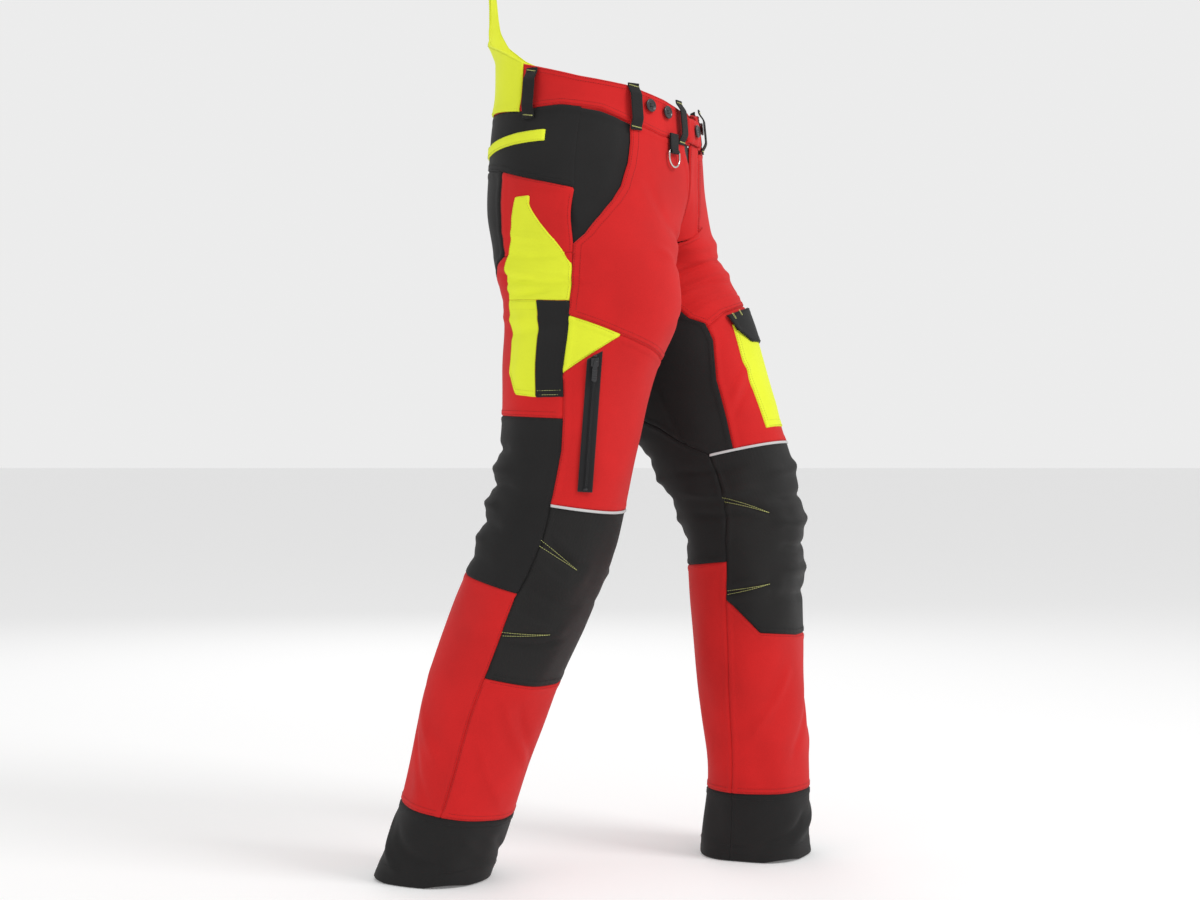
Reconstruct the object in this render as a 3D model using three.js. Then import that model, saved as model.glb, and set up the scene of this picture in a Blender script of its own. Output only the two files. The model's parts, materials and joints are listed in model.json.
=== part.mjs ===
// Protective work trousers standing in a walking stance, cut from sewn panels.
// Millimetres, +Z up, -Y to the wearer's front, -X to the wearer's right.
// Each half of the garment is a tube of tilted, rounded rings. A panel is an outline on that tube,
// given as [angle, level]: angle in degrees from the outer side seam round the front (90) to the
// inseam (180), level in millimetres up the tube. Above the crotch the two tubes meet at X = 0.
import * as THREE from "three";

// ---- Driving dimensions ---------------------------------------------------------------------

const HIP_GIRTH = 1060; // round the hips; every ring is graded with it
const INSIDE_LEG = 800; // crotch to hem; every level below the crotch is graded with it
const PATTERN_GIRTH = 1060; // the girth and leg length that the tables below are drawn for
const PATTERN_LEG = 800;
const WAIST_TOP = 1035; // level of the waistband's upper edge at the side
const CROTCH = PATTERN_LEG; // level where the two legs join
const RISE_BLEND = 225; // height over which the crotch opens into the waist
const CENTRE_OFFSET = 95; // leg axis to the centre seam at the crotch
const RISE_POWER = 2.4; // roundness of the crotch curve
const ROUNDNESS = 2.15; // superellipse exponent of every ring

const FABRIC = 1.6; // thickness of an outer panel
const WEBBING = 1.6; // thickness of the belt loops and the ring tab
const SEAM_GAP = 0.8; // open gap between two panels along a seam
const LAYER_GAP = 0.9; // clearance under a piece laid on a curved panel
const SKIN_GAP = 0.3; // clearance between flat touching pieces
const CENTRE_GAP = 0.4; // between the two halves where they lie against each other
const UNDER_GAP = 1.5; // depth of a piece under the panel that covers its edge
const PAD_THICKNESS = 6; // cut-protection layers inside the front of each leg
const MM_PER_DEGREE = 1.66; // arc length of one degree on an average ring
const CELL_ANGLE = 12; // angular size of a facet
const CELL_LEVEL = 725 / 15; // height of a facet; a row falls on the fullest ring of the thigh

const PIPING_WIDTH = 4;
const PIPING_HEIGHT = 1.4;

const LOOP_WIDTH = 17;
const LOOP_HEIGHT = 64;
const LOOP_STAND = 9; // height of the belt gap under a loop
const BUTTON_RADIUS = 8.5;
const BUTTON_THICKNESS = 3;
const BUTTON_SHANK = 1.4;
const BUTTON_BEVEL = 1;
const SHANK_RADIUS = 2.2;
const RING_WIDTH = 25; // D-ring, inside the wire's centre line
const RING_DROP = 20;
const RING_WIRE = 1.3; // wire radius
const TAB_WIDTH = 19;
const ZIP_WIDTH = 19;
const CHAIN_WIDTH = 5;
const CHAIN_HEIGHT = 1.8;
const TAPE_THICKNESS = 0.8;
const SLIDER_LENGTH = 12;
const SLIDER_WALL = 1.6;
const PULL_LENGTH = 26;
const PULL_WIDTH = 6;
const PULL_THICKNESS = 1.6;
const PLACKET_WIDTH = 38; // centre front to the placket's stitch line
const FLY_TOP = 968;
const FLY_BOTTOM = 815;
const FLY_CLEARANCE = 1.1; // degrees from the centre front to the placket's free edge
const FLY_SLIDER_DEPTH = 2.2; // under the placket's inner face
const CLOSURE_LOW = 978; // levels of the closure tab's two edges
const CLOSURE_HIGH = 1016;
const CLOSURE_REACH = 86; // angle of the closure tab's end on the right half

// Rings of each leg: level, axis X offset, axis Y, tilt, outer, inner, front and back half widths.
const RIGHT_LEG = [
  [0, 152, 172, 0, 77, 77, 74, 71],
  [100, 147, 136, 9, 76, 76, 71, 71],
  [240, 138, 97, 13, 80, 80, 78, 82],
  [340, 130, 56, 14, 83, 83, 80, 88],
  [445, 122, 16, 12, 87, 85, 81, 89],
  [570, 112, -5, 4, 91, 87, 87, 87],
  [650, 106, -14, 0, 95, 90, 99, 97],
  [725, 100, -27, 0, 98, 94, 117, 111],
];
const LEFT_LEG = [
  [0, 152, -169, 0, 77, 77, 75, 73],
  [100, 147, -174, 0, 75, 75, 69, 67],
  [240, 138, -166, -2, 77, 77, 72, 71],
  [340, 130, -164, -4, 80, 80, 75, 75],
  [445, 122, -163, -8, 84, 83, 79, 81],
  [570, 112, -121, -14, 89, 87, 93, 95],
  [650, 106, -91, -14, 94, 90, 99, 99],
  [725, 100, -59, -10, 98, 94, 108, 108],
];
// Rings of the hip, shared by both halves: level, axis Y, tilt, half width, front and back.
const HIP = [
  [800, -18, 0, 194, 118, 121],
  [850, -2, 3, 194, 126, 124],
  [900, 2, 6, 190, 130, 127],
  [950, 2, 9, 181, 132, 129],
  [990, 0, 12, 172, 130, 128],
  [1035, 0, 14, 167, 127, 125],
];

const RIGHT = -1;
const LEFT = 1;
const RED = { color: 0xc8282a, roughness: 0.85, metalness: 0 };
const BLACK = { color: 0x262627, roughness: 0.9, metalness: 0 };
const YELLOW = { color: 0xdeeb3a, roughness: 0.8, metalness: 0 };
const SILVER = { color: 0xb9bcbe, roughness: 0.45, metalness: 0.1 };
const NICKEL = { color: 0xc9c5bb, roughness: 0.25, metalness: 1 };
const DARK_PLASTIC = { color: 0x1d1d1f, roughness: 0.4, metalness: 0 };
const PADDING = { color: 0xd9d6c8, roughness: 0.95, metalness: 0 };

const trousers = new THREE.Group();

// ---- The garment surface --------------------------------------------------------------------

// Smooth curve through (xs, ys), with each inner slope weighted by the neighbouring spans.
function smooth(xs, ys, x) {
  const last = xs.length - 1;
  const at = Math.min(Math.max(x, xs[0]), xs[last]);
  let i = 0;
  while (i < last - 1 && at > xs[i + 1]) i += 1;
  const span = (k) => xs[k + 1] - xs[k];
  const secant = (k) => (ys[k + 1] - ys[k]) / span(k);
  const slope = (k) => {
    if (k === 0) return secant(0);
    if (k === last) return secant(last - 1);
    return (secant(k - 1) * span(k) + secant(k) * span(k - 1)) / (span(k - 1) + span(k));
  };
  const h = span(i);
  const s = (at - xs[i]) / h;
  const rise = ys[i] * (1 + 2 * s) * (1 - s) ** 2 + ys[i + 1] * s * s * (3 - 2 * s);
  return rise + h * s * (1 - s) * (slope(i) * (1 - s) - slope(i + 1) * s);
}

// Straight lines through [x, y] points.
function broken(points, x) {
  const last = points.length - 1;
  let i = 0;
  while (i < last - 1 && x > points[i + 1][0]) i += 1;
  const [x0, y0] = points[i];
  const [x1, y1] = points[i + 1];
  const share = Math.min(Math.max((x - x0) / (x1 - x0), 0), 1);
  return y0 + (y1 - y0) * share;
}

// How far the leg axis still stands off the centre seam, as a share of the inner half width.
function riseShare(level) {
  const share = Math.min(Math.max((level - CROTCH) / RISE_BLEND, 0), 1);
  return (1 - share) ** RISE_POWER;
}

function ringTable(side) {
  const hip = HIP.map(([level, y, tilt, half, front, back]) => {
    const offset = CENTRE_OFFSET * riseShare(level);
    return [level, offset, y, tilt, half - offset, CENTRE_OFFSET, front, back];
  });
  return (side === RIGHT ? RIGHT_LEG : LEFT_LEG).concat(hip);
}

const RINGS = { [RIGHT]: ringTable(RIGHT), [LEFT]: ringTable(LEFT) };

function ringAt(side, level) {
  const rows = RINGS[side];
  const levels = rows.map((row) => row[0]);
  const column = (k) => smooth(levels, rows.map((row) => row[k]), level);
  const reach = smooth(levels, rows.map((row) => row[1] + row[4]), level);
  const joined = level >= CROTCH;
  const offset = joined ? CENTRE_OFFSET * riseShare(level) : column(1);
  const inner = joined ? CENTRE_OFFSET : Math.min(column(5), offset);
  const tilt = THREE.MathUtils.degToRad(column(3));
  const outer = reach - offset;
  return { offset, inner, outer, y: column(2), tilt, front: column(6), back: column(7) };
}

// The angle at which the ring reaches the centre seam: 180 at the crotch, 90 at the waist.
function centreAngle(level) {
  if (level < CROTCH) return 180;
  const share = riseShare(level) ** (ROUNDNESS / 2);
  return 180 - THREE.MathUtils.radToDeg(Math.acos(share));
}

const girthGrade = HIP_GIRTH / PATTERN_GIRTH;
const legGrade = INSIDE_LEG / PATTERN_LEG;

// The height of a level on the graded garment.
function heightOf(level) {
  return Math.min(level, CROTCH) * legGrade + Math.max(level - CROTCH, 0);
}

function bareSurface(side, angle, level) {
  const ring = ringAt(side, level);
  const turn = THREE.MathUtils.degToRad(angle);
  const power = 2 / ROUNDNESS;
  const across = Math.sign(Math.cos(turn)) * Math.abs(Math.cos(turn)) ** power;
  const along = Math.sign(Math.sin(turn)) * Math.abs(Math.sin(turn)) ** power;
  const width = ring.offset + (across >= 0 ? ring.outer : ring.inner) * across;
  const reach = (along >= 0 ? ring.front : ring.back) * along * girthGrade;
  return new THREE.Vector3(
    side * Math.max(width * girthGrade, CENTRE_GAP / 2),
    ring.y * legGrade - reach * Math.cos(ring.tilt),
    heightOf(level) - reach * Math.sin(ring.tilt),
  );
}

function normalAt(surface, angle, level, side) {
  const step = 0.5;
  const round = surface(angle + step, level).sub(surface(angle - step, level));
  const low = Math.min(level, WAIST_TOP - step);
  const up = surface(angle, low + step).sub(surface(angle, low - step));
  return round.cross(up).multiplyScalar(-side).normalize();
}

// A point lifted off the leg surface along its outward normal.
function legPoint(side) {
  const surface = (angle, level) => bareSurface(side, angle, level);
  return (angle, level, lift) =>
    surface(angle, level).addScaledVector(normalAt(surface, angle, level, side), lift);
}

// As legPoint, with the lowest edge cut flat where the hem stands.
function hemPoint(side) {
  const place = legPoint(side);
  return (angle, level, lift) => {
    const point = place(angle, level, lift);
    if (level < SEAM_GAP) point.z = 0;
    return point;
  };
}

// The belt runs right round both halves: 0 at the centre back, -90 and 90 at the right and left
// side seams, -180 and 180 at the centre front.
function beltAngle(side, angle, level) {
  return side * 90 * (1 + angle / centreAngle(level));
}

const CENTRE_TURN = 0.2; // this near the centre a point leans straight forwards or back
function beltPoint(turn, level, lift) {
  const side = turn < 0 ? RIGHT : LEFT;
  const angle = (Math.abs(turn) / 90 - 1) * centreAngle(level);
  const surface = (a, l) => bareSurface(side, a, l);
  const normal = normalAt(surface, angle, level, side);
  const fromCentre = Math.min(Math.abs(turn), 180 - Math.abs(turn));
  if (fromCentre < CENTRE_TURN) normal.setX(0).normalize();
  return surface(angle, level).addScaledVector(normal, lift);
}

// The kidney guard goes on up above the waist, leaning back over the wearer's belt.
const GUARD_LEAN = [[990, 0], [1035, 8], [1061, 25], [1090, 32], [1147, 36]];
function guardPoint(turn, level, lift) {
  const point = beltPoint(turn, Math.min(level, WAIST_TOP), lift);
  const behind = Math.max(Math.cos(THREE.MathUtils.degToRad(turn)), 0) ** 2;
  point.y += broken(GUARD_LEAN, level) * behind;
  point.z += Math.max(level - WAIST_TOP, 0);
  return point;
}

// ---- Panels cut from the surface ------------------------------------------------------------

// The part of a polygon on one side of a line: axis 0 or 1, keeping sign * value >= sign * limit.
function clip(polygon, axis, limit, sign) {
  const kept = [];
  polygon.forEach((point, i) => {
    const next = polygon[(i + 1) % polygon.length];
    const here = sign * (point[axis] - limit);
    const there = sign * (next[axis] - limit);
    if (here >= 0) kept.push(point);
    if (here * there < 0) {
      const share = here / (here - there);
      const cut = point.map((value, k) => value + (next[k] - value) * share);
      cut[axis] = limit;
      kept.push(cut);
    }
  });
  return kept;
}

const SMALLEST_PIECE = 1e-3; // square millimetres
const crossed = (a, b) => a[0] * b[1] - a[1] * b[0];

function area(polygon) {
  return polygon.reduce((sum, p, i) => sum + crossed(p, polygon[(i + 1) % polygon.length]), 0) / 2;
}

const SHARPEST_MITRE = 0.4; // limits how far a sharp corner moves

// The outline moved inwards by a distance, with its corners mitred.
function inset(polygon, distance) {
  const count = polygon.length;
  const edge = (i) => {
    const a = polygon[(i + count) % count];
    const b = polygon[(i + 1) % count];
    const length = Math.hypot(b[0] - a[0], b[1] - a[1]);
    return [(b[0] - a[0]) / length, (b[1] - a[1]) / length];
  };
  return polygon.map((point, i) => {
    const before = edge(i - 1);
    const after = edge(i);
    const normal = [-before[1] - after[1], before[0] + after[0]];
    const reach = 1 + before[0] * after[0] + before[1] * after[1];
    const scale = distance / Math.max(reach, SHARPEST_MITRE);
    return [point[0] + normal[0] * scale, point[1] + normal[1] * scale];
  });
}

// A flat sheet of facets over the outline, cut along the shared grid so that neighbours match.
function facets(outline) {
  const flat = outline.map(([angle, level]) => [angle * MM_PER_DEGREE, level]);
  if (area(flat) < 0) flat.reverse();
  const polygon = inset(flat, SEAM_GAP / 2);
  const cell = [CELL_ANGLE * MM_PER_DEGREE, CELL_LEVEL];
  const range = (axis) => {
    const values = polygon.map((p) => p[axis] / cell[axis]);
    return [Math.floor(Math.min(...values)), Math.ceil(Math.max(...values))];
  };
  const [columns, rows] = [range(0), range(1)];
  const points = [];
  const index = new Map();
  const triangles = [];
  const pointIndex = (p) => {
    const key = p.map((value) => Math.round(value * 1000)).join();
    if (!index.has(key)) index.set(key, points.push(p) - 1);
    return index.get(key);
  };
  for (let i = columns[0]; i < columns[1]; i += 1) {
    const strip = clip(clip(polygon, 0, i * cell[0], 1), 0, (i + 1) * cell[0], -1);
    for (let j = rows[0]; j < rows[1]; j += 1) {
      const piece = clip(clip(strip, 1, j * cell[1], 1), 1, (j + 1) * cell[1], -1);
      if (piece.length < 3 || area(piece) < SMALLEST_PIECE) continue;
      const corners = piece.map((p) => new THREE.Vector2(...p));
      THREE.ShapeUtils.triangulateShape(corners, []).forEach((face) => {
        const ids = face.map((k) => pointIndex(piece[k]));
        if (new Set(ids).size === 3) triangles.push(ids);
      });
    }
  }
  return { points, triangles };
}

// A closed sheet of fabric between two lifts over the outline.
function sheet(outline, place, mirrored, bottom, top) {
  const { points, triangles } = facets(outline);
  const layer = (lift) => points.map(([s, level]) => place(s / MM_PER_DEGREE, level, lift));
  const vertices = layer(top).concat(layer(bottom)).flatMap((v) => v.toArray());
  const edges = new Map();
  const faces = [];
  const under = points.length;
  triangles.forEach(([a, b, c]) => {
    faces.push([a, b, c], [a + under, c + under, b + under]);
    [[a, b], [b, c], [c, a]].forEach(([p, q]) => {
      if (edges.has(`${q},${p}`)) edges.delete(`${q},${p}`);
      else edges.set(`${p},${q}`, [p, q]);
    });
  });
  edges.forEach(([p, q]) => faces.push([p, p + under, q], [q, p + under, q + under]));
  const order = mirrored ? ([a, b, c]) => [a, c, b] : (face) => face;
  const geometry = new THREE.BufferGeometry();
  geometry.setAttribute("position", new THREE.Float32BufferAttribute(vertices, 3));
  geometry.setIndex(faces.flatMap(order));
  return geometry;
}

function add(name, geometry, look, matrix) {
  const mesh = new THREE.Mesh(geometry, new THREE.MeshStandardMaterial(look));
  mesh.name = name;
  if (matrix) mesh.applyMatrix4(matrix);
  trousers.add(mesh);
  return mesh;
}

const sideName = (side) => (side === RIGHT ? "right" : "left");

function addPanel(name, side, outline, look, bottom = -FABRIC, top = 0) {
  const geometry = sheet(outline, legPoint(side), side === LEFT, bottom, top);
  add(`${name}_${sideName(side)}`, geometry, look);
}

// ---- Seams shared by neighbouring panels ----------------------------------------------------

// Levels that differ between the swung-back right leg and the forward left leg.
const LEVELS = {
  [RIGHT]: { backTop: 592, backLow: 377, kneeTop: 487, kneeLow: 271, kneeCorner: 330, cuff: 92 },
  [LEFT]: { backTop: 640, backLow: 404, kneeTop: 542, kneeLow: 299, kneeCorner: 353, cuff: 92 },
};
const SIDE_SEAM = [
  [0, 8], [92, 9], [278, 11], [372, 9], [401, 12.5], [445, 15], [487, 14.5], [554, 16.5], [596, 13.5],
  [617, 12], [647, 9], [719, 4], [740, 4.5], [782, 8], [808, 11], [881, 17.5], [1000, 17.5],
];
const INSEAM = [[0, 192], [92, 190], [218, 184], [353, 182], [433, 181], [487, 174], [542, 173]];
const WAIST_SEAM = [[-50, 968], [-16.5, 973], [6, 989], [28, 993], [45, 985], [65, 976]];
const WAIST_BACK = 966; // the waist seam's level at the centre back
const WAIST_EDGE = [[16, 1031], [44, 1035], [69, 1030], [90, 1020]];
const YOKE_BACK = 906;
const YOKE_SEAM = [[-47, 901], [-28.5, 898], [17.5, 881]];
const POCKET_MOUTH = [
  [11, 808], [20, 822], [31.5, 848], [39, 870], [43.5, 891], [46, 925], [46, 957], [45, 985],
];
const SEAT_SIDE = [[-39.5, 797], [-31.5, 846], [-28.5, 898]];
const SEAT_LOW = [[-108, 765], [-68.5, 772], [-39.5, 797]];
const GUSSET_FRONT = [
  [487, 153], [542, 152], [579, 149], [631, 146.5], [682, 137.5],
  [705, 139], [716, 150], [760, 163], [797, 180],
];
const GUSSET_TOP = 797;
const GUSSET_BACK = 252; // the gusset's back edge, as an angle

const sideSeam = (level) => [broken(SIDE_SEAM, level), level];
const inseam = (level) => [broken(INSEAM, level), level];
const behind = ([angle, level]) => [angle - 360, level];

// The points of a seam between two levels, ends included, running upwards.
function seamBetween(table, low, high) {
  const inner = table.filter(([level]) => level > low + 1 && level < high - 1).map(([level]) => level);
  return [low, ...inner, high].map((level) => [broken(table, level), level]);
}

// The centre seam from one level up to another, on the front (1) or back (-1).
function centreSeam(low, high, face) {
  const steps = 9;
  const points = [];
  for (let i = 0; i <= steps; i += 1) {
    const level = low + ((high - low) * i) / steps;
    points.push([face * centreAngle(level), level]);
  }
  return points;
}

// The seam across the front thigh, from the side seam to the gusset.
const THIGH_SEAM = {
  [RIGHT]: [[4, 719], [42, 694], [60.5, 684], [98, 668], [141, 664]],
  [LEFT]: [[4, 735], [76, 731], [118, 716], [137.5, 700]],
};
// The lower panel's upper edge: on the right it follows the yellow triangle's lower edge.
const LOWER_EDGE = {
  [RIGHT]: [[9, 647], [42, 694], [60.5, 684], [98, 668], [141, 664]],
  [LEFT]: THIGH_SEAM[LEFT],
};

// ---- Waist pieces ---------------------------------------------------------------------------

// A row of belt points that mirrors a table of [angle, level] points onto both halves, with one
// more point at the centre back.
function beltRow(table, backLevel) {
  const convert = (side) => table.map(([angle, level]) => [beltAngle(side, angle, level), level]);
  return [...convert(RIGHT).reverse(), [0, backLevel], ...convert(LEFT)];
}

// The turn of the placket's stitch line on the left half at a level.
function placketTurn(level) {
  const ring = ringAt(LEFT, level);
  const width = PLACKET_WIDTH / girthGrade - ring.offset;
  const reach = width / (width > 0 ? ring.outer : ring.inner);
  const cosine = Math.sign(reach) * Math.abs(reach) ** (ROUNDNESS / 2);
  return THREE.MathUtils.radToDeg(Math.acos(cosine));
}

function addWaistband() {
  const closure = (table) => broken(table, 80);
  const front = (table) => [beltAngle(LEFT, placketTurn(closure(table)), closure(table)), closure(table)];
  const keep = (table, back) => {
    const inner = beltRow(table, back).filter(([turn]) => turn < front(table)[0] - 2);
    return [[-180, closure(table)], ...inner, front(table)];
  };
  const outline = keep(WAIST_SEAM, WAIST_BACK).concat(keep(WAIST_EDGE, WAIST_TOP).reverse());
  add("waistband", sheet(outline, beltPoint, true, -2 * FABRIC, 0), RED);
}

function addKidneyGuard() {
  const half = [
    [73, 972], [73, 1034], [57, 1047], [35, 1060], [19.4, 1070], [9.1, 1084], [4.3, 1102], [2.5, 1147],
  ];
  const mirror = half.map(([turn, level]) => [-turn, level]);
  const low = [[-40, 968], [0, 966], [40, 968]];
  const outline = [mirror[0], ...low, ...half, ...mirror.slice(1).reverse()];
  const top = LAYER_GAP + FABRIC;
  add("kidney_guard", sheet(outline, guardPoint, true, LAYER_GAP, top), YELLOW);
}

function addYoke() {
  const top = WAIST_SEAM.filter(([angle]) => angle < 17).concat([[17.5, broken(WAIST_SEAM, 17.5)]]);
  const outline = beltRow(YOKE_SEAM, YOKE_BACK).reverse();
  const upper = beltRow(top, WAIST_BACK);
  add("back_yoke", sheet(upper.concat(outline), beltPoint, true, -FABRIC, 0), BLACK);
}

function addBackStripe() {
  const low = [[-46, 920], [-20, 931], [0.5, 939]];
  const high = [[-46, 932], [-18, 946], [0.5, 954]];
  const outline = beltRow(low, 912).concat(beltRow(high, 925).reverse());
  const lift = LAYER_GAP + SKIN_GAP;
  add("back_stripe", sheet(outline, beltPoint, true, lift, lift + FABRIC / 2), YELLOW);
}

// ---- Panels of one half ---------------------------------------------------------------------

function addHipPieces(side) {
  const bag = [[10, 800], [40, 800], [56, 850], [58, 977], [45, 983], [28, 990], [14, 989], [13, 870]];
  addPanel("hip_pocket_bag", side, bag, BLACK, -2 * FABRIC - UNDER_GAP, -FABRIC - UNDER_GAP);
  const centreBack = centreSeam(CROTCH, YOKE_BACK, -1).slice(1).reverse();
  const seat = [...SEAT_LOW, ...SEAT_SIDE.slice(1), YOKE_SEAM[0], ...centreBack];
  addPanel("seat", side, [[-180, CROTCH - 3], ...seat], BLACK);
  const hipSide = seamBetween(SIDE_SEAM, SEAT_SIDE[0][1], 881);
  addPanel("hip_panel", side, [...hipSide, ...SEAT_SIDE.slice().reverse()], RED);
  const panel = [
    [-44, 749], [4.5, 741], [8, 782], [-0.5, 823], [-7, 857], [-6.5, 869], [-16.5, 867], [-28, 816], [-38, 790],
  ];
  addPanel("side_panel", side, panel, YELLOW, LAYER_GAP, LAYER_GAP + FABRIC);
}

function addBackThigh(side) {
  const { backTop } = LEVELS[side];
  const outer = seamBetween(SIDE_SEAM, backTop, SEAT_LOW[2][1]);
  const outline = [[GUSSET_BACK - 360, backTop], ...outer, ...SEAT_LOW.slice().reverse()];
  addPanel("back_thigh", side, outline, RED);
}

// The corner where the gusset meets the back of the knee.
const gussetHeel = (side) => [205, LEVELS[side].kneeTop + 50];

function addGusset(side) {
  const { backTop, kneeTop } = LEVELS[side];
  const front = seamBetween(GUSSET_FRONT, kneeTop, GUSSET_TOP).reverse();
  const back = [GUSSET_BACK, backTop];
  const outline = [[GUSSET_BACK, SEAT_LOW[0][1]], ...front, inseam(kneeTop), gussetHeel(side), back];
  addPanel("gusset", side, outline, BLACK);
}

function addFrontThigh(side) {
  const seam = THIGH_SEAM[side];
  const gusset = seamBetween(GUSSET_FRONT, seam[seam.length - 1][1], GUSSET_TOP);
  const waist = WAIST_SEAM.filter(([angle]) => angle > 46 && angle < 88).reverse();
  const outer = seamBetween(SIDE_SEAM, seam[0][1], POCKET_MOUTH[0][1]).reverse().slice(0, -1);
  const opening = side === LEFT;
  const turn = opening ? placketTurn(FLY_TOP) : 90;
  const centre = centreSeam(CROTCH + 4, opening ? FLY_BOTTOM : FLY_TOP, 1);
  if (opening) {
    for (const level of [840, 870, 900, 935, FLY_TOP]) centre.push([placketTurn(level), level]);
  } else centre.push([centreAngle(FLY_TOP), 972]);
  const top = opening ? waist.filter(([angle]) => angle < turn - 4) : waist;
  const mouth = POCKET_MOUTH.slice(1).reverse();
  const outline = [...seam.slice(0, -1), ...gusset, ...centre, ...top, ...mouth, ...outer];
  addPanel("front_thigh", side, outline, RED);
}

function addLowerFront(side) {
  const { kneeTop } = LEVELS[side];
  const top = LOWER_EDGE[side];
  const gusset = seamBetween(GUSSET_FRONT, kneeTop, top[top.length - 1][1]);
  const outer = seamBetween(SIDE_SEAM, kneeTop, top[0][1]).slice(0, -1).reverse();
  addPanel("thigh_front_lower", side, [...gusset, ...top.slice(0, -1).reverse(), ...outer], RED);
}

function addKneeAndCalf(side) {
  const { backTop, backLow, kneeTop, kneeLow, kneeCorner, cuff } = LEVELS[side];
  const kneeOuter = seamBetween(SIDE_SEAM, kneeLow, kneeTop).reverse();
  const kneeInner = seamBetween(INSEAM, kneeCorner, kneeTop);
  const kneeFoot = [[98, kneeLow], [150, kneeLow + 8]];
  addPanel("knee_patch", side, [...kneeOuter, ...kneeFoot, ...kneeInner], BLACK);
  const backOuter = seamBetween(SIDE_SEAM, backLow, backTop);
  const backInner = seamBetween(INSEAM, backLow, kneeTop).reverse().map(behind);
  const gussetEdge = [[GUSSET_BACK - 360, backTop], behind(gussetHeel(side))];
  addPanel("back_knee", side, [...backOuter, ...gussetEdge, ...backInner], BLACK);
  const calfInner = seamBetween(INSEAM, cuff, kneeCorner);
  const calfOuter = seamBetween(SIDE_SEAM, cuff, kneeLow).reverse();
  addPanel("calf_front", side, [...calfInner, ...kneeFoot.slice().reverse(), ...calfOuter], RED);
  const backSeam = seamBetween(INSEAM, cuff, backLow).reverse().map(behind);
  const sideBelow = seamBetween(SIDE_SEAM, cuff, backLow);
  addPanel("calf_back", side, [...sideBelow, ...backSeam], RED);
  const hem = [[-171, 0], [189, 0], [189, cuff], [-171, cuff]];
  add(`cuff_${sideName(side)}`, sheet(hem, hemPoint(side), side === LEFT, -2 * FABRIC, 0), BLACK);
  const [left, right] = [sideSeam(kneeTop)[0] + 0.5, inseam(kneeTop)[0] - 0.5];
  const [low, high] = [kneeTop - PIPING_WIDTH / 2, kneeTop + PIPING_WIDTH / 2];
  const piping = [[left, low], [right, low], [right, high], [left, high]];
  addPanel("piping", side, piping, SILVER, LAYER_GAP, LAYER_GAP + PIPING_HEIGHT);
}

const PAD_DEPTH = { [RIGHT]: 2 * UNDER_GAP, [LEFT]: UNDER_GAP }; // under the front panels

function addProtection(side) {
  const outline = [
    [4, 110], [184, 110], [178, 500], [156, 550], [132, 650], [120, 700], [96, 750], [10, 750], [6, 740],
  ];
  const top = -FABRIC - PAD_DEPTH[side];
  addPanel("cut_protection_pad", side, outline, PADDING, top - PAD_THICKNESS, top);
}

function addThighPockets() {
  const top = LAYER_GAP + FABRIC;
  const bag = [[-41, 650], [-29, 620], [-8.4, 617], [-16.2, 739], [-45, 742]];
  addPanel("side_pocket", RIGHT, bag, YELLOW, LAYER_GAP, top);
  const end = [[-8.4, 617], [12, 618], [9, 647], [4.5, 737], [-16.2, 739]];
  addPanel("side_pocket_end", RIGHT, end, BLACK, LAYER_GAP, top);
  const wedge = [[9, 647], [40, 691.2], [40, 695.3], [4, 719]];
  addPanel("thigh_wedge", RIGHT, wedge, YELLOW);
  const cargo = [[30, 562], [112.5, 561], [116, 650], [113.5, 700], [26, 712], [28, 650]];
  addPanel("cargo_pocket", LEFT, cargo, YELLOW, LAYER_GAP, top);
  const flap = [[25, 676], [96, 674], [112.5, 691], [118.5, 712], [76, 727], [23, 733]];
  addPanel("cargo_flap", LEFT, flap, BLACK, top + LAYER_GAP, top + LAYER_GAP + FABRIC);
}

// ---- Hardware -------------------------------------------------------------------------------

// An upright frame on the surface: X across, Y outwards, Z up.
function frameAt(side, angle, level, lift) {
  const place = legPoint(side);
  const origin = place(angle, level, lift);
  const outward = place(angle, level, lift + 1).sub(origin).normalize();
  const up = new THREE.Vector3(0, 0, 1).addScaledVector(outward, -outward.z).normalize();
  const across = outward.clone().cross(up);
  return new THREE.Matrix4().makeBasis(across, outward, up).setPosition(origin);
}

// A profile in the Y-Z plane, given as [y, z] points, carried across X and centred on it.
function across(points, width, holes = []) {
  const shape = new THREE.Shape(points.map(([y, z]) => new THREE.Vector2(y, z)));
  shape.holes.push(...holes);
  const geometry = new THREE.ExtrudeGeometry(shape, { depth: width, bevelEnabled: false, curveSegments: 8 });
  const turn = new THREE.Matrix4().makeBasis(
    new THREE.Vector3(0, 1, 0),
    new THREE.Vector3(0, 0, 1),
    new THREE.Vector3(1, 0, 0),
  );
  return geometry.applyMatrix4(turn).translate(-width / 2, 0, 0);
}

// A strip of webbing along a [y, z] path, as the outline of its edge.
function stripOutline(path, thickness) {
  const curve = new THREE.SplineCurve(path.map((p) => new THREE.Vector2(...p)));
  const steps = 16;
  const sides = [[], []];
  for (let i = 0; i <= steps; i += 1) {
    const point = curve.getPoint(i / steps);
    const tangent = curve.getTangent(i / steps);
    sides[0].push([point.x - (tangent.y * thickness) / 2, point.y + (tangent.x * thickness) / 2]);
    sides[1].unshift([point.x + (tangent.y * thickness) / 2, point.y - (tangent.x * thickness) / 2]);
  }
  return sides[0].concat(sides[1]);
}

const LOOP_LIFT = { side: 2 * LAYER_GAP, hip: LAYER_GAP + SKIN_GAP / 2, front: SKIN_GAP / 2 };
const LOOP_PLACES = {
  [RIGHT]: { side: [-10, 996], hip: [47, 1006], front: [80, 1003] },
  [LEFT]: { side: [-10, 996], hip: [42, 1006], front: [71, 1004] },
};

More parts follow.
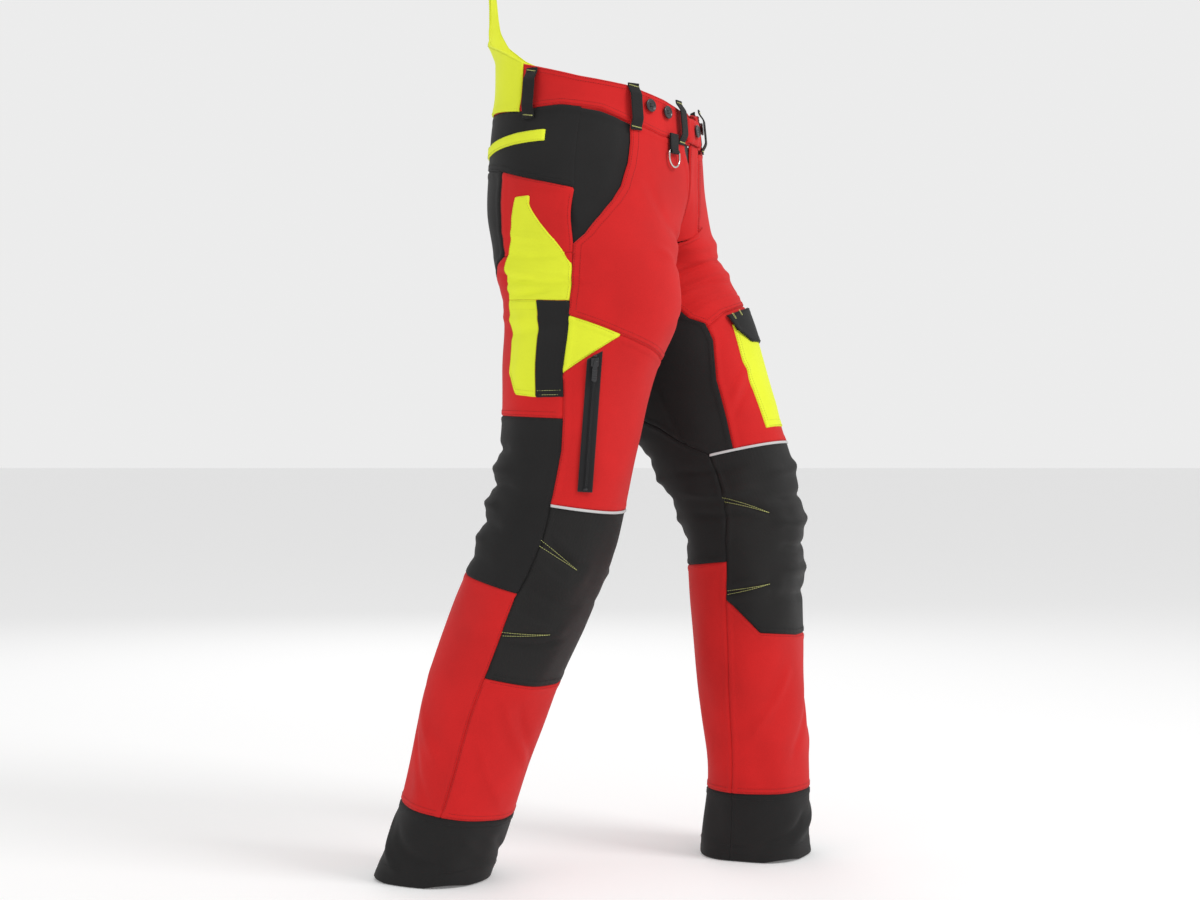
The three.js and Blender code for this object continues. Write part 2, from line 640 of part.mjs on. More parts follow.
function addBeltLoop(name, side, angle, level) {
  const half = LOOP_HEIGHT / 2;
  const foot = WEBBING / 2;
  const path = [
    [foot, -half], [foot + 0.2, -half + 5], [LOOP_STAND, -half + 13], [LOOP_STAND + 1, 0],
    [LOOP_STAND, half - 13], [foot + 0.2, half - 5], [foot, half],
  ];
  const geometry = across(stripOutline(path, WEBBING), LOOP_WIDTH);
  const lift = LOOP_LIFT[name];
  add(`belt_loop_${name}_${sideName(side)}`, geometry, BLACK, frameAt(side, angle, level, lift));
}

const BUTTON_PLACES = {
  [RIGHT]: { outer: [57, 1014], inner: [69, 1012] },
  [LEFT]: { outer: [52, 1014], inner: [61.5, 1012] },
};

function buttonGeometry() {
  const rim = BUTTON_RADIUS - BUTTON_BEVEL;
  const top = BUTTON_SHANK + BUTTON_THICKNESS;
  const profile = [
    [0, 0], [SHANK_RADIUS, 0], [SHANK_RADIUS, BUTTON_SHANK], [rim, BUTTON_SHANK],
    [BUTTON_RADIUS, BUTTON_SHANK + BUTTON_BEVEL], [BUTTON_RADIUS, top - BUTTON_BEVEL], [rim, top], [0, top],
  ];
  return new THREE.LatheGeometry(profile.map(([r, y]) => new THREE.Vector2(r, y)), 12);
}

function addBraceButtons(side) {
  for (const [name, [angle, level]] of Object.entries(BUTTON_PLACES[side])) {
    const frame = frameAt(side, angle, level, SKIN_GAP);
    add(`brace_button_${name}_${sideName(side)}`, buttonGeometry(), DARK_PLASTIC, frame);
  }
}

// A closed wire round a flat loop of [x, z] points.
function wireLoop(points, radius) {
  const sides = 8;
  const count = points.length;
  const positions = [];
  const faces = [];
  points.forEach(([x, z], i) => {
    const [px, pz] = points[(i + count - 1) % count];
    const [nx, nz] = points[(i + 1) % count];
    const length = Math.hypot(nx - px, nz - pz);
    const out = [(nz - pz) / length, -(nx - px) / length];
    for (let k = 0; k < sides; k += 1) {
      const turn = (2 * Math.PI * k) / sides;
      const reach = radius * Math.cos(turn);
      positions.push(x + out[0] * reach, radius * Math.sin(turn), z + out[1] * reach);
      const [a, b] = [i * sides + k, i * sides + ((k + 1) % sides)];
      const [c, d] = [a, b].map((v) => (v + sides) % (count * sides));
      faces.push(a, b, c, b, d, c);
    }
  });
  const geometry = new THREE.BufferGeometry();
  geometry.setAttribute("position", new THREE.Float32BufferAttribute(positions, 3));
  geometry.setIndex(faces);
  return geometry;
}

const TAB_PLACE = [74, 956];
const TAB_LENGTH = 22;

function addRingAndTab() {
  const eye = RING_WIRE + SKIN_GAP;
  const wall = WEBBING * 0.8;
  const lift = SKIN_GAP + eye + wall;
  const frame = frameAt(RIGHT, ...TAB_PLACE, lift);
  const outer = eye + wall;
  const outline = [];
  const steps = 14;
  const neck = Math.asin(wall / outer);
  for (let i = 0; i <= steps; i += 1) {
    const turn = neck + ((2 * Math.PI - 2 * neck) * i) / steps;
    outline.push([-outer * Math.sin(turn), outer * Math.cos(turn)]);
  }
  outline.push([wall, TAB_LENGTH], [-wall, TAB_LENGTH]);
  const hole = new THREE.Path().absarc(0, 0, eye, 0, 2 * Math.PI, true);
  add("ring_tab", across(outline, TAB_WIDTH, [hole]), BLACK, frame);
  const half = RING_WIDTH / 2;
  const loop = [[-half, 0], [0, 0], [half, 0]];
  const arcSteps = 12;
  for (let i = 0; i <= arcSteps; i += 1) {
    const turn = (Math.PI * i) / arcSteps;
    loop.push([half * Math.cos(turn), -RING_DROP + half - half * Math.sin(turn)]);
  }
  add("d_ring", wireLoop(loop, RING_WIRE), NICKEL, frame);
}

// ---- Zips and the front closure -------------------------------------------------------------

const HALF_TRACK_ANGLE = 5; // the tape's edges, as angles either side of its middle

// A straight track laid over the surface between two [angle, level] ends, clear of its bulge.
function trackFrame(side, low, high, clearance) {
  const place = legPoint(side);
  const [start, end] = [place(...low, 0), place(...high, 0)];
  const middle = low.map((value, k) => (value + high[k]) / 2);
  const up = end.clone().sub(start).normalize();
  const outward = place(...middle, 1).sub(place(...middle, 0));
  outward.addScaledVector(up, -outward.dot(up)).normalize();
  let bulge = 0;
  for (let i = 0; i <= 20; i += 1) {
    const at = low.map((value, k) => value + ((high[k] - value) * i) / 20);
    for (const spread of [-HALF_TRACK_ANGLE, 0, HALF_TRACK_ANGLE]) {
      bulge = Math.max(bulge, place(at[0] + spread, at[1], 0).sub(start).dot(outward));
    }
  }
  const origin = start.addScaledVector(outward, bulge + clearance);
  const sideways = outward.clone().cross(up);
  const matrix = new THREE.Matrix4().makeBasis(sideways, outward, up).setPosition(origin);
  return { matrix, length: end.distanceTo(place(...low, 0)) };
}

// A profile in the X-Y plane carried up Z.
function upright(points, from, to) {
  const shape = new THREE.Shape(points.map(([x, y]) => new THREE.Vector2(x, y)));
  return new THREE.ExtrudeGeometry(shape, { depth: to - from, bevelEnabled: false }).translate(0, 0, from);
}

const THIGH_ZIP = { low: [42.2, 510], high: [28.5, 668] };
const END_STOP = 2; // from the slider's top end to the end of the track
const SLIDER_ROOF = TAPE_THICKNESS + CHAIN_HEIGHT + SKIN_GAP;
const SLIDER_TOP = SLIDER_ROOF + SLIDER_WALL;

function sliderProfile() {
  const inner = CHAIN_WIDTH / 2 + SKIN_GAP;
  const outer = inner + SLIDER_WALL;
  const foot = TAPE_THICKNESS + SKIN_GAP;
  return [
    [-outer, foot], [-inner, foot], [-inner, SLIDER_ROOF], [inner, SLIDER_ROOF],
    [inner, foot], [outer, foot], [outer, SLIDER_TOP], [-outer, SLIDER_TOP],
  ];
}

function addThighZip() {
  const { matrix, length } = trackFrame(RIGHT, THIGH_ZIP.low, THIGH_ZIP.high, LAYER_GAP);
  const half = ZIP_WIDTH / 2;
  const chain = CHAIN_WIDTH / 2;
  const rise = TAPE_THICKNESS + CHAIN_HEIGHT;
  const track = [
    [-half, 0], [half, 0], [half, TAPE_THICKNESS], [chain, TAPE_THICKNESS],
    [chain, rise], [-chain, rise], [-chain, TAPE_THICKNESS], [-half, TAPE_THICKNESS],
  ];
  add("thigh_zip", upright(track, 0, length), BLACK, matrix);
  const seat = length - END_STOP;
  add("thigh_zip_slider", upright(sliderProfile(), seat - SLIDER_LENGTH, seat), DARK_PLASTIC, matrix);
  const [low, high] = [SLIDER_TOP + SKIN_GAP, SLIDER_TOP + SKIN_GAP + PULL_THICKNESS];
  const top = seat - SLIDER_LENGTH / 2;
  const end = top - PULL_LENGTH;
  const pull = across([[low, top], [low, end], [high, end], [high, top]], PULL_WIDTH);
  add("thigh_zip_pull", pull, DARK_PLASTIC, matrix);
}

function addFly() {
  const shelf = -FABRIC - UNDER_GAP;
  const tape = [];
  for (const level of [FLY_BOTTOM + 3, 850, 890, 930, FLY_TOP]) tape.push([centreAngle(level), level]);
  const outer = tape.slice().reverse().map(([angle, level]) => [angle - 14, level]);
  addPanel("fly_zip_tape", RIGHT, [...tape, ...outer], BLACK, shelf - TAPE_THICKNESS, shelf);

  const free = (level) => [centreAngle(level) - FLY_CLEARANCE, level];
  const edge = [FLY_BOTTOM + 12, 845, 870, 900, 935, FLY_TOP].map(free);
  const stitched = [FLY_TOP, 935, 900, 870, 840].map((level) => [placketTurn(level), level]);
  addPanel("fly_placket", LEFT, [...edge, ...stitched], RED);

  const place = legPoint(LEFT);
  const lift = -FABRIC - FLY_SLIDER_DEPTH;
  const top = place(centreAngle(FLY_TOP) - 3.2, FLY_TOP - 14, lift);
  const low = place(centreAngle(FLY_BOTTOM) - 5, FLY_BOTTOM + 30, lift);
  const up = top.clone().sub(low).normalize();
  const outward = new THREE.Vector3(0, -1, 0).addScaledVector(up, up.y).normalize();
  const matrix = new THREE.Matrix4().makeBasis(outward.clone().cross(up), outward, up).setPosition(top);
  const slider = upright([[-3.6, -1.8], [3.6, -1.8], [3.6, 1.2], [-3.6, 1.2]], -SLIDER_LENGTH, 0);
  add("fly_slider", slider, NICKEL, matrix);
}

function addWaistTab() {
  const top = LAYER_GAP + 2 * FABRIC;
  const row = (level) => {
    const right = beltAngle(RIGHT, CLOSURE_REACH, level);
    const left = beltAngle(LEFT, placketTurn(level) + 1, level);
    return [right + 360, left].map((turn) => [turn, level]);
  };
  const [lowRight, lowLeft] = row(CLOSURE_LOW);
  const [highRight, highLeft] = row(CLOSURE_HIGH);
  const place = (turn, level, height) => beltPoint(turn > 180 ? turn - 360 : turn, level, height);
  const outline = [lowLeft, lowRight, highRight, highLeft];
  add("waist_tab", sheet(outline, place, true, LAYER_GAP, top), RED);
  const frame = frameAt(LEFT, 88, 998, top - SKIN_GAP);
  add("closure_button", buttonGeometry(), DARK_PLASTIC, frame);
}

// ---- The whole garment ----------------------------------------------------------------------

addWaistband();
addKidneyGuard();
addYoke();
addBackStripe();
for (const side of [RIGHT, LEFT]) {
  addHipPieces(side);
  addBackThigh(side);
  addGusset(side);
  addFrontThigh(side);
  addLowerFront(side);
  addKneeAndCalf(side);
  addProtection(side);
  addBraceButtons(side);
  for (const [name, [angle, level]] of Object.entries(LOOP_PLACES[side])) {
    addBeltLoop(name, side, angle, level);
  }
}
addThighPockets();
addThighZip();
addFly();
addWaistTab();
addRingAndTab();

export default trousers;
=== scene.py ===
"""Protective work trousers, sewn panel by panel over the fixed frame.

Panels are four-sided patches of one garment surface. The surface is a tube of tilted, rounded rings
for each leg, and the two tubes meet at X = 0 above the crotch. A place on it is an angle in degrees,
from the outer side seam (0) round the front (90) to the inseam (180), and a level in millimetres up
the tube. Pattern sizes are in millimetres, and every mesh is in metres.
"""
import json
import math

import bpy
import numpy as np
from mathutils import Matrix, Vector


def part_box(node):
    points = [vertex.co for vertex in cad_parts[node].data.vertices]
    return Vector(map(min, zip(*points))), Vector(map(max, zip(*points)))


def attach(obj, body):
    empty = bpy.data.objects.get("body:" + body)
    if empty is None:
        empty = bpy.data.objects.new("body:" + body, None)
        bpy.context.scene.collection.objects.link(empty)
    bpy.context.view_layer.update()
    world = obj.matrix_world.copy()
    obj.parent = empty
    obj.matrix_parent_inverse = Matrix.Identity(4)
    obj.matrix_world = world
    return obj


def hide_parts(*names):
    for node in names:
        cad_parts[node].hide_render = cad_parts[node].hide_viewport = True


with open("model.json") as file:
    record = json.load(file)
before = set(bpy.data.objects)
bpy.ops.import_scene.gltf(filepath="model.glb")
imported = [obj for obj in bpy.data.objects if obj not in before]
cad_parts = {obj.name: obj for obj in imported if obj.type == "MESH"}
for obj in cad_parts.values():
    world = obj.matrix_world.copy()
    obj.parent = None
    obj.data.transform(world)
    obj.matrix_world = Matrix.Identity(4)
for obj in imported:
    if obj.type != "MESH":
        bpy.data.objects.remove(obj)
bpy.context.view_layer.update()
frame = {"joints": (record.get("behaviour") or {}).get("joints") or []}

bl_info = {
    "name": "Protective trousers",
    "version": (1, 0, 0),
    "blender": (4, 5, 0),
    "location": "View3D > Sidebar > Trousers",
    "description": "Builds sewn forestry trousers over their working frame",
    "category": "Object",
}

MM = 0.001

# ---- Pattern -----------------------------------------------------------------------------------

WAIST_TOP = 1035
CROTCH = 800
RISE_BLEND = 225
CENTRE_OFFSET = 95
RISE_POWER = 2.4
ROUNDNESS = 2.15
MM_PER_DEGREE = 1.66
FABRIC = 1.6
LAYER = 1.1  # how far a patch pocket stands off the panel that carries it
PLACKET_WIDTH = 38
RIGHT, LEFT = -1, 1
SIDES = {RIGHT: "right", LEFT: "left"}

# Rings of each leg: level, axis X, axis Y, tilt, outer, inner, front and back half widths.
LEG = {
    RIGHT: [
        [0, 152, 172, 0, 77, 77, 74, 71],
        [100, 147, 136, 9, 76, 76, 71, 71],
        [240, 138, 97, 13, 80, 80, 78, 82],
        [340, 130, 56, 14, 83, 83, 80, 88],
        [445, 122, 16, 12, 87, 85, 81, 89],
        [570, 112, -5, 4, 91, 87, 87, 87],
        [650, 106, -14, 0, 95, 90, 99, 97],
        [725, 100, -27, 0, 98, 94, 117, 111],
    ],
    LEFT: [
        [0, 152, -169, 0, 77, 77, 75, 73],
        [100, 147, -174, 0, 75, 75, 69, 67],
        [240, 138, -166, -2, 77, 77, 72, 71],
        [340, 130, -164, -4, 80, 80, 75, 75],
        [445, 122, -163, -8, 84, 83, 79, 81],
        [570, 112, -121, -14, 89, 87, 93, 95],
        [650, 106, -91, -14, 94, 90, 99, 99],
        [725, 100, -59, -10, 98, 94, 108, 108],
    ],
}
# Rings of the hip: level, axis Y, tilt, half width, front and back.
HIP = [
    [800, -18, 0, 194, 118, 121],
    [850, -2, 3, 194, 126, 124],
    [900, 2, 6, 190, 130, 127],
    [950, 2, 9, 181, 132, 129],
    [990, 0, 12, 172, 130, 128],
    [1035, 0, 14, 167, 127, 125],
]
LEVELS = {
    RIGHT: {"backTop": 592, "backLow": 377, "kneeTop": 487, "kneeLow": 271, "corner": 330, "cuff": 92},
    LEFT: {"backTop": 640, "backLow": 404, "kneeTop": 542, "kneeLow": 299, "corner": 353, "cuff": 92},
}
SIDE_SEAM = [
    [0, 8], [92, 9], [278, 11], [372, 9], [401, 12.5], [445, 15], [487, 14.5], [554, 16.5], [596, 13.5],
    [617, 12], [647, 9], [719, 4], [740, 4.5], [782, 8], [808, 11], [881, 17.5], [1000, 17.5],
]
INSEAM = [[0, 192], [92, 190], [218, 184], [353, 182], [433, 181], [487, 174], [542, 173]]
GUSSET_SEAM = [
    [487, 153], [542, 152], [579, 149], [631, 146.5], [682, 137.5], [705, 139], [716, 150], [760, 163],
    [797, 180],
]
GUSSET_BACK = 252
WAIST_SEAM = [[-50, 968], [-16.5, 973], [6, 989], [28, 993], [45, 985], [65, 976]]
WAIST_BACK = 966
WAIST_EDGE = [[16, 1031], [44, 1035], [69, 1030], [90, 1020]]
YOKE_SEAM = [[-47, 901], [-28.5, 898], [17.5, 881]]
YOKE_BACK = 906
POCKET_MOUTH = [[11, 808], [20, 822], [31.5, 848], [39, 870], [43.5, 891], [46, 925], [46, 957], [45, 985]]
SEAT_SIDE = [[-39.5, 797], [-31.5, 846], [-28.5, 898]]
SEAT_LOW = [[-180, 797], [-108, 765], [-68.5, 772], [-39.5, 797]]
THIGH_SEAM = {
    RIGHT: [[4, 719], [42, 694], [60.5, 684], [98, 668], [141, 664]],
    LEFT: [[4, 735], [76, 731], [118, 716], [137.5, 700]],
}
LOWER_EDGE = {
    RIGHT: [[9, 647], [42, 694], [60.5, 684], [98, 668], [141, 664]],
    LEFT: THIGH_SEAM[LEFT],
}
FLY_TOP, FLY_BOTTOM = 968, 815
TUCK = 978  # the fly's cloth runs up to here, behind the closure tab
GUARD_LEAN = [[990, 0], [1035, 8], [1061, 25], [1090, 32], [1147, 36]]

# Creases pressed into the cloth: from and to places, half width and height (a hollow is negative).
CREASES = {
    RIGHT: [
        [-47, 776, 4, 758, 4.5, -1.5], [-46, 763, -10, 770, 4.5, -1.3], [-46, 751, -6, 751, 4.5, -1.2],
        [-46, 788, -4, 772, 7, 1.2], [150, 745, 96, 790, 9, -3.2], [166, 770, 92, 835, 10, -2.6],
        [128, 760, 78, 800, 9, 1.8],
        [150, 700, 110, 716, 8, -1.6], [-60, 745, -10, 752, 8, -1.5], [-62, 722, -20, 716, 7, 1.5],
        [-50, 700, -5, 706, 8, -1.4], [-40, 780, 5, 768, 7, 1.4], [-36, 800, 2, 792, 6, -1.5],
        [-30, 825, -2, 815, 6, 1.3], [-120, 560, -40, 548, 9, -3.0], [-130, 538, -30, 520, 10, 3.2],
        [-125, 512, -25, 498, 8, -3.4], [-130, 488, -40, 470, 9, 3.4], [-120, 462, -30, 446, 8, -3.0],
        [-128, 438, -45, 425, 9, 2.4], [-115, 412, -30, 402, 9, -1.8], [20, 448, 62, 420, 6, -2.2],
        [14, 420, 58, 392, 8, 1.8], [18, 390, 70, 372, 8, -1.6], [12, 352, 60, 345, 7, 1.6],
        [12, 318, 62, 330, 6, -2.0], [120, 440, 165, 452, 8, -2.2], [118, 410, 166, 420, 8, 2.0],
        [116, 378, 168, 386, 7, -2.0], [40, 240, 86, 170, 10, 2.0], [58, 236, 98, 176, 9, -1.6],
        [30, 180, 66, 120, 11, 1.5], [-60, 250, -10, 160, 12, 1.6], [-84, 300, -40, 210, 12, -1.6],
        [-50, 180, -10, 110, 11, -1.4], [-70, 70, -20, 20, 10, 2.4], [-40, 62, 20, 30, 10, -2.0],
        [40, 66, 96, 24, 10, 2.2], [88, 60, 140, 26, 9, -1.8], [60, 900, 78, 850, 9, -0.9],
    ],
    LEFT: [
        [168, 762, 72, 814, 4.5, -2.6], [160, 745, 96, 772, 5, -1.8], [150, 786, 68, 838, 12, 2.6],
        [150, 750, 70, 790, 11, 2.2], [146, 726, 82, 750, 5, -1.4], [160, 752, 96, 792, 9, -1.2],
        [150, 722, 84, 748, 10, 2.2], [172, 776, 100, 820, 10, -2.4],
        [-120, 560, -40, 580, 9, -2.6], [-126, 590, -40, 604, 10, 2.6], [-124, 530, -36, 548, 9, 2.8],
        [-120, 500, -36, 516, 9, -3.0], [-122, 472, -30, 484, 9, 2.6], [-116, 440, -30, 452, 9, -2.2],
        [150, 520, 196, 528, 8, -2.2], [148, 492, 200, 500, 8, 2.4], [146, 462, 196, 470, 8, -2.0],
        [60, 520, 118, 508, 9, 3.0], [52, 486, 120, 476, 8, -3.0], [56, 452, 120, 446, 9, 3.2],
        [56, 420, 118, 416, 8, -3.0], [60, 388, 116, 386, 9, 2.6], [62, 356, 120, 356, 8, -2.4],
        [118, 250, 160, 180, 11, 1.6], [70, 230, 110, 150, 12, -1.4], [30, 240, 70, 150, 12, 1.5],
        [-60, 260, -20, 160, 12, -1.5], [-90, 240, -50, 140, 12, 1.6], [60, 66, 118, 28, 10, 2.2],
        [100, 56, 152, 24, 9, -2.0], [-60, 66, -10, 26, 10, 2.2], [134, 610, 112, 640, 8, 1.6],
        [137, 590, 120, 612, 7, -1.5], [-60, 745, -10, 752, 8, -1.5], [-50, 700, -5, 706, 8, -1.4],
    ],
}
CREASE_SHARPNESS = 0.75
# Gentle unevenness: waves round the leg, waves up the leg, phase and height.
RIPPLES = [[3, 0.021, 0.4, 0.7], [5, 0.034, 2.1, 0.55], [7, 0.012, 4.0, 0.4], [4, 0.055, 1.2, 0.4],
    [9, 0.041, 5.2, 0.25]]

# ---- The garment surface -----------------------------------------------------------------------


def smooth(rows, column, x):
    """Cubic through the table's rows, each inner slope weighted by its neighbouring spans."""
    table = np.asarray(rows, float)
    xs, ys = table[:, 0], table[:, column]
    spans = np.diff(xs)
    secants = np.diff(ys) / spans
    inner = (secants[:-1] * spans[1:] + secants[1:] * spans[:-1]) / (spans[:-1] + spans[1:])
    slopes = np.concatenate([secants[:1], inner, secants[-1:]])
    at = np.clip(x, xs[0], xs[-1])
    i = np.clip(np.searchsorted(xs, at) - 1, 0, len(spans) - 1)
    h = spans[i]
    s = (at - xs[i]) / h
    base = ys[i] * (1 + 2 * s) * (1 - s) ** 2 + ys[i + 1] * s * s * (3 - 2 * s)
    return base + h * s * (1 - s) * (slopes[i] * (1 - s) - slopes[i + 1] * s)


def broken(points, x):
    """Straight lines through [x, y] points."""
    table = np.asarray(points, float)
    return np.interp(x, table[:, 0], table[:, 1])


def rise_share(level):
    """One at the crotch, falling to nothing at the waist, as a power of the height that is left."""
    return (1 - np.clip((level - CROTCH) / RISE_BLEND, 0, 1)) ** RISE_POWER


def ring_rows(side):
    """The leg's rings with the shared hip rings above them, in one table."""
    rows = [list(row) for row in LEG[side]]
    for level, y, tilt, half, front, back in HIP:
        offset = CENTRE_OFFSET * float(rise_share(level))
        rows.append([level, offset, y, tilt, half - offset, CENTRE_OFFSET, front, back])
    return rows


RING_ROWS = {side: ring_rows(side) for side in SIDES}
REACH_ROWS = {side: [[row[0], row[1] + row[4]] for row in RING_ROWS[side]] for side in SIDES}


def ring_at(side, level):
    """Offset, inner and outer half widths, axis Y, tilt, front and back half widths at each level."""
    rows = RING_ROWS[side]
    joined = level >= CROTCH
    offset = np.where(joined, CENTRE_OFFSET * rise_share(level), smooth(rows, 1, level))
    inner = np.where(joined, CENTRE_OFFSET, np.minimum(smooth(rows, 5, level), offset))
    outer = smooth(REACH_ROWS[side], 1, level) - offset
    tilt = np.radians(smooth(rows, 3, level))
    return offset, inner, outer, smooth(rows, 2, level), tilt, smooth(rows, 6, level), smooth(rows, 7, level)


def centre_angle(level):
    """The angle where the ring meets the centre seam: 180 at the crotch, 90 at the waist."""
    level = np.asarray(level, float)
    share = rise_share(level) ** (ROUNDNESS / 2)
    return np.where(level < CROTCH, 180.0, 180 - np.degrees(np.arccos(np.clip(share, 0, 1))))


def bare(side, angle, level):
    """Superellipse ring: half width times cosine, half depth times sine, each to a power of 2 / ROUNDNESS."""
    offset, inner, outer, y, tilt, front, back = ring_at(side, level)
    turn = np.radians(angle)
    power = 2 / ROUNDNESS
    cosine = np.sign(np.cos(turn)) * np.abs(np.cos(turn)) ** power
    sine = np.sign(np.sin(turn)) * np.abs(np.sin(turn)) ** power
    x = np.maximum(offset + np.where(cosine >= 0, outer, inner) * cosine, 0.2)
    reach = np.where(sine >= 0, front, back) * sine
    return np.stack([side * x, y - reach * np.cos(tilt), level - reach * np.sin(tilt)], -1)


def unit(v):
    return v / np.maximum(np.linalg.norm(v, axis=-1, keepdims=True), 1e-9)


def outward(side, angle, level):
    """The surface normal: the cross product of the slopes round and up the ring."""
    step = 0.5
    low = np.minimum(level, WAIST_TOP - step)
    around = bare(side, angle + step, level) - bare(side, angle - step, level)
    up = bare(side, angle, low + step) - bare(side, angle, low - step)
    return unit(np.cross(around, up) * -side)


def creased(side, angle, level):
    """Height of the creases: each is a bell across a line, fading at its ends, plus slow ripples."""
    wrapped = np.mod(np.asarray(angle) + 145, 360) - 145
    x, y = wrapped * MM_PER_DEGREE, level
    lift = np.zeros(np.shape(x))
    for a0, l0, a1, l1, width, height in CREASES[side]:
        start = np.array([a0 * MM_PER_DEGREE, l0])
        span = np.array([a1 * MM_PER_DEGREE, l1]) - start
        length = np.hypot(*span)
        along = ((x - start[0]) * span[0] + (y - start[1]) * span[1]) / length
        across = ((x - start[0]) * span[1] - (y - start[1]) * span[0]) / length
        width = width * CREASE_SHARPNESS
        bend = across - 0.05 * length * np.sin(np.pi * np.clip(along / length, 0, 1))
        ends = 0.5 * (np.tanh(along / 14 + 0.5) - np.tanh((along - length) / 14 - 0.5))
        lift = lift + height * np.exp(-((bend / width) ** 2)) * ends
    turn = np.radians(angle)
    for rounds, climb, phase, height in RIPPLES:
        lift = lift + height * np.sin(rounds * turn + phase) * np.sin(climb * y + phase * 1.7)
    calm = np.clip((level - 925) / 60, 0, 1)
    foot = np.clip(level / 25, 0, 1)
    return lift * bpy.context.scene.trousers_cloth.fold_depth * (1 - 0.9 * calm) * foot


def on_leg(side):
    """Places on one half: angle, level and lift in millimetres to points."""
    def place(angle, level, lift):
        angle, level = np.asarray(angle, float), np.asarray(level, float)
        height = np.asarray(lift) + creased(side, angle, level)
        base = bare(side, angle, level)
        shift = outward(side, angle, level) * height[..., None]
        shift[..., 0] *= ease(0, 8, np.abs(base[..., 0]))
        point = base + shift
        point[..., 0] = side * np.maximum(side * point[..., 0], 0.02)
        return point
    return place


def on_hem(side):
    """As on_leg, with a lower edge that waves where it meets the ground and bulges where it is crushed."""
    place = on_leg(side)

    def stand(angle, level, lift):
        turn = np.radians(np.asarray(angle, float))
        low = 1 - ease(6, 60, np.asarray(level, float))
        sway = np.sin(3 * turn + side) + 0.7 * np.sin(5 * turn + 2 * side + 0.6)
        point = place(angle, level, lift + 2.4 * sway * low)
        point[..., 2] = np.maximum(point[..., 2], 0) + 2.0 * np.maximum(sway, 0) * low
        return point
    return stand


def belt_angle(side, angle, level):
    """Turn round the belt: 0 at the centre back, 90 at the left side seam, 180 at the centre front."""
    return side * 90 * (1 + angle / float(centre_angle(level)))


def on_belt(turn, level, lift):
    """Places right round both halves."""
    turn, level = np.asarray(turn, float), np.asarray(level, float)
    size = np.abs(turn)
    angle = (size / 90 - 1) * centre_angle(level)
    halves = []
    for side in (RIGHT, LEFT):
        normal = outward(side, angle, level)
        sideways = ease(0, 9, np.minimum(size, 180 - size))
        normal = unit(np.stack([normal[..., 0] * sideways, normal[..., 1], normal[..., 2]], -1))
        height = np.asarray(lift) + creased(side, angle, level)
        point = bare(side, angle, level) + normal * height[..., None]
        point[..., 0] = np.where(np.minimum(size, 180 - size) < 1e-6, 0, point[..., 0])
        halves.append(point)
    return np.where((turn < 0)[..., None], halves[0], halves[1])


def on_guard(turn, level, lift):
    """The belt carried on upwards, leaning back behind the wearer."""
    point = on_belt(turn, np.minimum(level, WAIST_TOP), lift)
    behind = np.maximum(np.cos(np.radians(turn)), 0) ** 5
    point[..., 1] += broken(GUARD_LEAN, level) * behind
    point[..., 2] += np.maximum(level - WAIST_TOP, 0)
    return point


# ---- Outlines and patches ----------------------------------------------------------------------


def seam(table, low, high):
    """The points of a seam between two levels, ends included, running upwards."""
    inner = [level for level, _ in table if low + 1 < level < high - 1]
    return [[float(broken(table, level)), level] for level in [low, *inner, high]]


def behind(points):
    return [[angle - 360, level] for angle, level in points]


def centre_seam(low, high, face):
    return [[face * float(centre_angle(level)), level] for level in np.linspace(low, high, 12)]


def placket_turn(level):
    """The angle of the placket's stitch line, PLACKET_WIDTH from the centre, on the left half."""
    offset, inner, outer, *_ = ring_at(LEFT, np.array([float(level)]))
    width = PLACKET_WIDTH - offset[0]
    reach = width / (outer[0] if width > 0 else inner[0])
    return math.degrees(math.acos(math.copysign(abs(reach) ** (ROUNDNESS / 2), reach)))


def belt_row(table, back):
    """A table of [angle, level] points mirrored onto both halves, with a point at the centre back."""
    def half(side):
        return [[belt_angle(side, angle, level), level] for angle, level in table]
    return [*half(RIGHT)[::-1], [0, back], *half(LEFT)]


def walk(points, share):
    """Points at shares of a path's length."""
    path = np.asarray(points, float) * np.array([MM_PER_DEGREE, 1])
    steps = np.hypot(*np.diff(path, axis=0).T)
    along = np.concatenate([[0], np.cumsum(steps)])
    at = share * along[-1]
    return np.stack([np.interp(at, along, path[:, k]) for k in (0, 1)], -1), along[-1]


EDGE_STEPS = np.array([0, 0.7, 1.4, 2.1, 3.0, 4.2, 5.8, 7.2, 8.6, 10.4])


def graded(length, step):
    """Shares of a length, close together near both ends and even between them."""
    edge = EDGE_STEPS[EDGE_STEPS < length * 0.4]
    inner = np.linspace(edge[-1], length - edge[-1], max(int((length - 2 * edge[-1]) / step), 2) + 1)
    return np.concatenate([edge[:-1], inner, (length - edge[:-1])[::-1]]) / length


